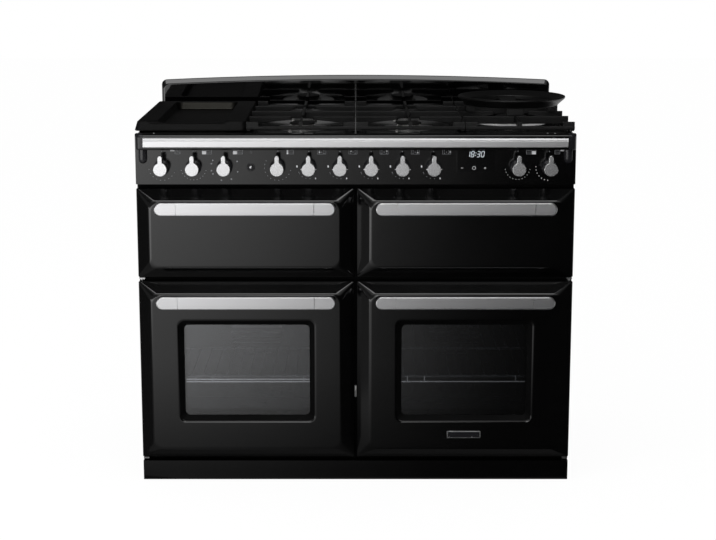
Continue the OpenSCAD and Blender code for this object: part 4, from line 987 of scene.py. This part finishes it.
def support_frame(form, cx):
    """Low front and back edges with raised corner blocks, lower side rails, and legs with soft feet."""
    e = SUPPORT_X - BAR_W / 2
    for sy in (-1, 1):
        d = MID_D + sy * (SUPPORT_D1 - SUPPORT_D0 - BAR_W) / 2
        cross_bar(form, cx, d, h0=9, h1=9, top=EDGE_Z)
        for sx in (-1, 1):
            cast_bar(form, cx + sx * (SUPPORT_X - 0.5), d - sy * 1.5, cx + sx * (SUPPORT_X - 29),
                     d - sy * 1.5, 12, 12)
    for sx in (-1, 1):
        cast_bar(form, cx + sx * e, SUPPORT_D0 + 5, cx + sx * e, SUPPORT_D1 - 5, 9, 9, 9, 9, REST_Z - 14)
        for d in (SUPPORT_D0 + BAR_W / 2, MID_D, SUPPORT_D1 - BAR_W / 2):
            place = (cx + sx * (SUPPORT_X - LEG_IN), d, 0)
            leg = round_path([(3.0, HOB_Z + 1.5), (3.8, HOB_Z + 8), (4.0, HOB_Z + 16)], [5])
            lathe(form, leg, place, "z", 16)
            foot = round_path([(0.1, HOB_Z + 0.3), (3.9, HOB_Z + 0.3), (3.9, HOB_Z + 3), (0.1, HOB_Z + 3)],
                              [0.6, 0.6])
            lathe(form, foot, place, "z", 16, 1)


def fingers(form, cx, d, gap, ahead, behind):
    """Four tapering fingers round a burner, with round tips."""
    e = SUPPORT_X - 1
    for x0, d0, x1, d1 in ((cx - e, d, cx - gap, d), (cx + e, d, cx + gap, d), (cx, d - ahead, cx, d - gap),
                           (cx, d + behind, cx, d + gap)):
        cast_bar(form, x0, d0, x1, d1, BAR_W, TIP_W, BAR_H, TIP_H, round_end=True)


for side, cx in (("left", -PAIR_X), ("centre", PAIR_X), ("right", WOK_X)):
    casting = Form()
    support_frame(casting, cx)
    if side == "right":
        cross_bar(casting, cx, MID_D - 120)
        cross_bar(casting, cx, MID_D + 120)
        fingers(casting, cx, MID_D, 44, 255, 255)
    else:
        cross_bar(casting, cx, MID_D)
        fingers(casting, cx, NEAR_D, 26, NEAR_D - 31, MID_D - NEAR_D)
        fingers(casting, cx, FAR_D, 26, FAR_D - MID_D, 541 - FAR_D)
    piece(f"casting_{side}", casting, [IRON, FOOT_PLASTIC], f"pan_support_{side}", sharp=50)


def turned_band(form, corners, radii, around=96):
    """A ring with a closed round-edged section, turned about the wok burner's axis."""
    path = round_path(list(corners) + [corners[0]], radii + [0.5], 4)
    start = (path[0] + path[-2]) / 2
    path = np.vstack([start, path[1:-1]])
    turn = whole_turn(around)
    form.grid(at(WOK_X + path[:, :1] * np.cos(turn), MID_D + path[:, :1] * np.sin(turn),
                 REST_Z + 0.3 + path[:, 1:] + 0 * turn), around=True, closed=True)


wok_ring = Form()
turned_band(wok_ring, [(123.0, 21), (141.5, 36.6), (140.0, 40.6), (135.5, 42), (115.5, 30), (114.5, 18),
                       (122.5, 18)], [4, 2.2, 1.6, 2.5, 4, 1.5])
lug = [(94.5, 0.0), (119.5, 0.0), (119.5, 22.0), (117.0, 27.5), (111.0, 27.6), (93.0, 7.4)]
side = round_path(lug + [lug[0]], [1.5, 3, 2, 4, 3], 4)[:-1]
middle = side.mean(0)
for a in range(0, 360, 90):
    c, s = math.cos(math.radians(a)), math.sin(math.radians(a))
    rings = []
    for across, shrink in ((-22, 0.93), (-21.4, 0.98), (-20, 1), (20, 1), (21.4, 0.98), (22, 0.93)):
        r, z = (middle + (side - middle) * shrink).T
        rings.append(at(WOK_X + r * c - across * s, MID_D + r * s + across * c, REST_Z + 0.3 + z))
    wok_ring.tube(rings)
piece("wok_ring_casting", wok_ring, [IRON], "wok_ring", sharp=50)

# ---------------------------------------------------------------- griddle tray

GRIDDLE_TOP = 922.0
GX0, GX1 = -546.0, -276.0
GD0, GD1 = 42.0, 545.0
LEDGE = 50.0
WALL = 17.0
LIP = 6.0


def griddle_ring(x0, x1, d0, d1, r, z):
    """Level ring of the tray. Near the front wall the rim sinks by the lip's depth between two ramps."""
    outline = round_rect(x1 - x0, d1 - d0, r, 10, 70)
    x, d = (x0 + x1) / 2 + outline[:, 0], (d0 + d1) / 2 + outline[:, 1]
    ramp = np.clip((x - (GX0 + LEDGE - 24)) / 10, 0, 1) * np.clip(((GX1 - LEDGE + 8) - x) / 12, 0, 1)
    ramp = ramp * ramp * (3 - 2 * ramp)
    front = np.clip((GD0 + WALL + 14 - d) / 12, 0, 1)
    high = np.clip((z - (GRIDDLE_TOP - LIP - 4)) / 10, 0, 1)
    return at(x, d, z - LIP * ramp * front * high)


def grown(g, r, z):
    """Ring of the outer wall, grown outwards by g from the tray's top outline."""
    return griddle_ring(GX0 - g, GX1 + min(g, 1), GD0 - g, GD1 + min(g, 1), r, z)


def inner(g, r, z):
    """Ring of the well, grown inwards by g from the well's top edge."""
    return griddle_ring(GX0 + LEDGE + g, GX1 - LEDGE - g, GD0 + WALL + g, GD1 - WALL - g, r, z)


griddle = Form()
foot = [griddle_ring(GX0 + 40, GX1 - 40, GD0 + 10, GD1 - 10, 14, z) for z in (HOB_Z + 0.3, 899)]
shell = [grown(*row) for row in ((3.5, 12, 898.5), (5, 12, 899.6), (5, 12, 902), (4.6, 12, 903.5),
                                 (0.4, 12, 918), (0, 12, 919.6), (-0.6, 11, 921.1), (-1.8, 10, 921.9),
                                 (-3.4, 10, 922))]
well = [inner(*row) for row in ((-3, 20, 922), (-1.4, 19, 921.7), (-0.4, 18, 920.7), (0, 18, 919.3),
                                (3.0, 16, 904), (4.2, 15, 901.6), (6.5, 14, 900.3), (9, 12, 900),
                                (14, 12, 900))]
griddle.tube(foot + shell + well)
# The well's rear wall in rings 3 to 5 takes the paler metal: painted highlight where light falls.
PAINTED_LIT_RINGS = slice(3, 6)
start = (len(foot + shell) + PAINTED_LIT_RINGS.start) * len(well[0])
behind = np.concatenate([ring[:, 1] - PANEL_Y > GD1 - WALL - 12 for ring in well[PAINTED_LIT_RINGS]])
for face in np.flatnonzero(behind):
    griddle.finishes[start + face] = 1
piece("griddle_casting", griddle, [GRIDDLE, PAINTED_LIT_GRIDDLE], "griddle_plate", sharp=50)

# ---------------------------------------------------------------- oven seals

SEAL_W, SEAL_H = 469.5, 419.0
SEAL_D = 24.65
STRANDS = 150
seals = Form()


def seal_rope(form, cx, cz):
    """Woven rope along a rounded rectangle. Its oval section swells and sinks a little where two sets of
    strands, which wind round it in opposite ways, cross each other."""
    outline = round_rect(SEAL_W, SEAL_H, 16.0, 24, 150)
    following = np.roll(outline, -1, 0)
    along = following - np.roll(outline, 1, 0)
    along /= np.linalg.norm(along, axis=1)[:, None]
    outward = np.stack([along[:, 1], -along[:, 0]], -1)
    steps = np.linalg.norm(following - outline, axis=1)
    length = np.concatenate([[0], np.cumsum(steps)[:-1]]) / steps.sum()
    turn = whole_turn(20)
    phase = 2 * math.pi * STRANDS * length[:, None]
    swell = 0.95 + 0.05 * np.cos(phase + 3 * turn) * np.cos(phase - 3 * turn)
    side = 4.9 * swell * np.cos(turn)
    deep = 2.3 * swell * np.sin(turn)
    rings = at(cx + outline[:, :1] + outward[:, :1] * side, SEAL_D + deep,
               cz + outline[:, 1:] + outward[:, 1:] * side)
    form.grid(rings, around=True, closed=True)


for way in (-1, 1):
    seal_rope(seals, way * FRONT_X, OVEN_Z)
piece("oven_seals", seals, [SEAL], "door_seals", sharp=80)

# ---------------------------------------------------------------- front rods of the shelves, glowing with painted light

ROD_D = 79.0
rods = Form()
for x, z in ((-FRONT_X, 248.5), (-FRONT_X, 242.0), (FRONT_X, 242.5)):
    section = np.array([ROD_D, z]) + round_rect(3.0, 3.0, 1.2, 4, 1)
    sweep_x(rods, section, x - 205, x + 205, 0.5)
for x in (-FRONT_X, FRONT_X):
    for dx in (-140, -96, 140):
        post = round_path([(1.2, 240.7), (1.2, 256.5), (0.1, 256.5)], [0.3])
        lathe(rods, post, (x + dx, ROD_D, 0), "z", 12)
piece("shelf_front_rods", rods, [WIRE])

# ---------------------------------------------------------------- small details

PLATE_AT = (275.0, 130.3)
blank = Form()
round_plate(blank, PLATE_AT, 86, 18.6, 2.4, -26.6, -24.9, 0.6)
round_plate(blank, PLATE_AT, 81, 14, 1.4, -26.8, -26.3, 0.1, 1)
piece("blank_plate", blank, [CHROME, GLOSS_PLASTIC], body="door_right")

screws = Form()
for x in (-499.0, 475.0, 493.0):
    lathe(screws, round_path([(2.6, 896.8), (2.6, 898.2), (0.1, 899.2)], [1.0]), (x, 4.0, 0), "z", 16)
piece("hob_screws", screws, [STEEL])

# ---------------------------------------------------------------- floor, light and world

REACH = 14.0
floor_mesh = bpy.data.meshes.new("studio_floor")
floor_mesh.from_pydata([(-REACH, -REACH, 0), (REACH, -REACH, 0), (REACH, REACH, 0), (-REACH, REACH, 0)], [],
                       [(0, 1, 2, 3)])
floor = bpy.data.objects.new("studio_floor", floor_mesh)
bpy.context.scene.collection.objects.link(floor)
floor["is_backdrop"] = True

SCREEN_LEVEL = 1.16
ROOM_LEVEL = 0.012
MIRRORED_EYE_Y = 3.88
LEFT_EDGE_X, LEFT_EDGE_Y = -0.45, -0.28


def screen_share(tree, slope, soft_from, soft_to, power):
    """Share of the pale screen in front, from the sideways slope of the line of sight: whole on the left,
    and fading to nothing on the right between two slopes, along a smooth step raised to a power."""
    fade = remap(tree, slope, soft_from, soft_to, 1.0, 0.0, True)
    return maths(tree, "POWER", fade, power)


def blend_values(tree, share, a, b):
    """Value a where share is 0 and value b where it is 1."""
    rest = times(tree, maths(tree, "SUBTRACT", 1.0, share), a)
    return maths(tree, "ADD", rest, times(tree, share, b))


def floor_finish():
    """Pale floor: white where the camera, metal or glass sees it, with the object's shadow kept. In front
    of the cooker its reflection fades to the right and towards the plinth, as the studio's light does.
    Far out to the left, nearly in line with the fronts, it is dim."""
    made = bpy.data.materials.new("studio_floor")
    made.use_nodes = True
    tree = made.node_tree
    tree.nodes.clear()
    path = add(tree, "ShaderNodeLightPath").outputs
    place = add(tree, "ShaderNodeSeparateXYZ", {0: add(tree, "ShaderNodeTexCoord").outputs["Object"]}).outputs
    slope = maths(tree, "DIVIDE", place[0], maths(tree, "SUBTRACT", MIRRORED_EYE_Y, place[1]))
    tone = times(tree, screen_share(tree, slope, -0.16, 0.13, 1.5), SCREEN_LEVEL)
    near = remap(tree, place[1], -0.35, -1.5, 0.13, 0.6)
    far = remap(tree, place[1], -1.5, -5.0, 1.0, 1.7)
    side = remap(tree, place[0], -1.9, -1.3, 2.0, 1.0, True)
    tone = times(tree, tone, times(tree, side, times(tree, near, far)))
    ahead = maths(tree, "SUBTRACT", LEFT_EDGE_Y, place[1])
    beside = maths(tree, "MAXIMUM", maths(tree, "SUBTRACT", LEFT_EDGE_X, place[0]), 0.01)
    turn = maths(tree, "DIVIDE", ahead, beside)
    left = remap(tree, turn, 0.22, 0.3, 0.04, 0.13, True)
    tone = blend_values(tree, remap(tree, turn, 0.65, 0.9, 0.0, 1.0, True), left, tone)
    tone = maths(tree, "ADD", tone, ROOM_LEVEL)
    tone = blend_values(tree, remap(tree, place[1], -0.3, 0.3, 0.0, 1.0, True), tone, 1.0)
    seen = maths(tree, "MAXIMUM", path["Is Glossy Ray"], path["Is Transmission Ray"])
    level = mix_colours(tree, seen, grey(1.0), tone)
    share = maths(tree, "MAXIMUM", seen, times(tree, path["Is Camera Ray"], 0.9))
    lit = add(tree, "ShaderNodeBsdfDiffuse", {"Color": grey(0.8)}).outputs[0]
    glow = add(tree, "ShaderNodeEmission", {"Color": level, "Strength": 1.05}).outputs[0]
    mixed = add(tree, "ShaderNodeMixShader", {0: share, 1: lit, 2: glow}).outputs[0]
    add(tree, "ShaderNodeOutputMaterial", {"Surface": mixed})
    return made


floor_mesh.materials.append(floor_finish())


def studio_world():
    """White for the camera; metal and glass see a dim backdrop behind and the pale screen in front;
    everything else gets a plain even light."""
    world = bpy.data.worlds.new("studio")
    bpy.context.scene.world = world
    world.use_nodes = True
    tree = world.node_tree
    tree.nodes.clear()
    path = add(tree, "ShaderNodeLightPath").outputs
    sight = add(tree, "ShaderNodeTexCoord").outputs["Generated"]
    way = add(tree, "ShaderNodeSeparateXYZ", {0: sight}).outputs
    ahead = maths(tree, "MAXIMUM", times(tree, way[1], -1.0), 0.02)
    slope = maths(tree, "DIVIDE", way[0], ahead)
    left_end = remap(tree, slope, -3.0, -2.2, 0.1, 1.0, True)
    tone = times(tree, screen_share(tree, slope, -0.03, 0.09, 1.0), 2.75 * SCREEN_LEVEL)
    tone = times(tree, tone, remap(tree, slope, -0.24, -0.02, 0.05, 1.0, True))
    tone = times(tree, tone, left_end)
    canopy = remap(tree, way[2], 0.3, 0.45, 0.0, 0.6, True)
    canopy = times(tree, canopy, remap(tree, way[2], 0.62, 0.8, 1.0, 0.04, True))
    sideways = maths(tree, "ABSOLUTE", slope)
    canopy = times(tree, canopy, remap(tree, sideways, 0.4, 0.9, 1.0, 0.1, True))
    tone = times(tree, tone, remap(tree, way[2], 0.23, 0.41, 1.0, 0.0, True))
    tone = maths(tree, "ADD", maths(tree, "ADD", tone, canopy), ROOM_LEVEL)
    backdrop = remap(tree, way[2], 0.03, 0.17, 0.12, 0.03, True)
    tone = blend_values(tree, remap(tree, way[1], 0.0, 0.2, 0.0, 1.0, True), tone, backdrop)
    seen = maths(tree, "MAXIMUM", path["Is Glossy Ray"], path["Is Transmission Ray"])
    level = mix_colours(tree, seen, grey(0.6), tone)
    level = mix_colours(tree, path["Is Camera Ray"], level, grey(1.0))
    shine = add(tree, "ShaderNodeBackground", {"Color": level, "Strength": 1.0}).outputs[0]
    add(tree, "ShaderNodeOutputWorld", {"Surface": shine})


studio_world()


def soft_lamp(name, place, aim, size, power, glossy=True):
    """A soft rectangular lamp at place that points at aim."""
    lamp = bpy.data.lights.new(name, "AREA")
    lamp.shape = "RECTANGLE"
    lamp.size, lamp.size_y = size
    lamp.energy = power
    made = bpy.data.objects.new(name, lamp)
    bpy.context.scene.collection.objects.link(made)
    made.location = place
    away = np.array(place) - np.array(aim)
    flat = math.hypot(away[0], away[1])
    made.rotation_euler = (math.atan2(flat, away[2]), 0, math.atan2(away[1], away[0]) + math.pi / 2)
    made.visible_camera = False
    made.visible_glossy = glossy


soft_lamp("top_screen", (-0.2, -2.2, 3.25), (-0.2, 0.3, 0.98), (2.9, 0.9), 22)
soft_lamp("left_fill", (-2.6, -2.4, 1.6), (0, 0, 0.5), (1.6, 1.6), 30, False)

low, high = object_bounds()
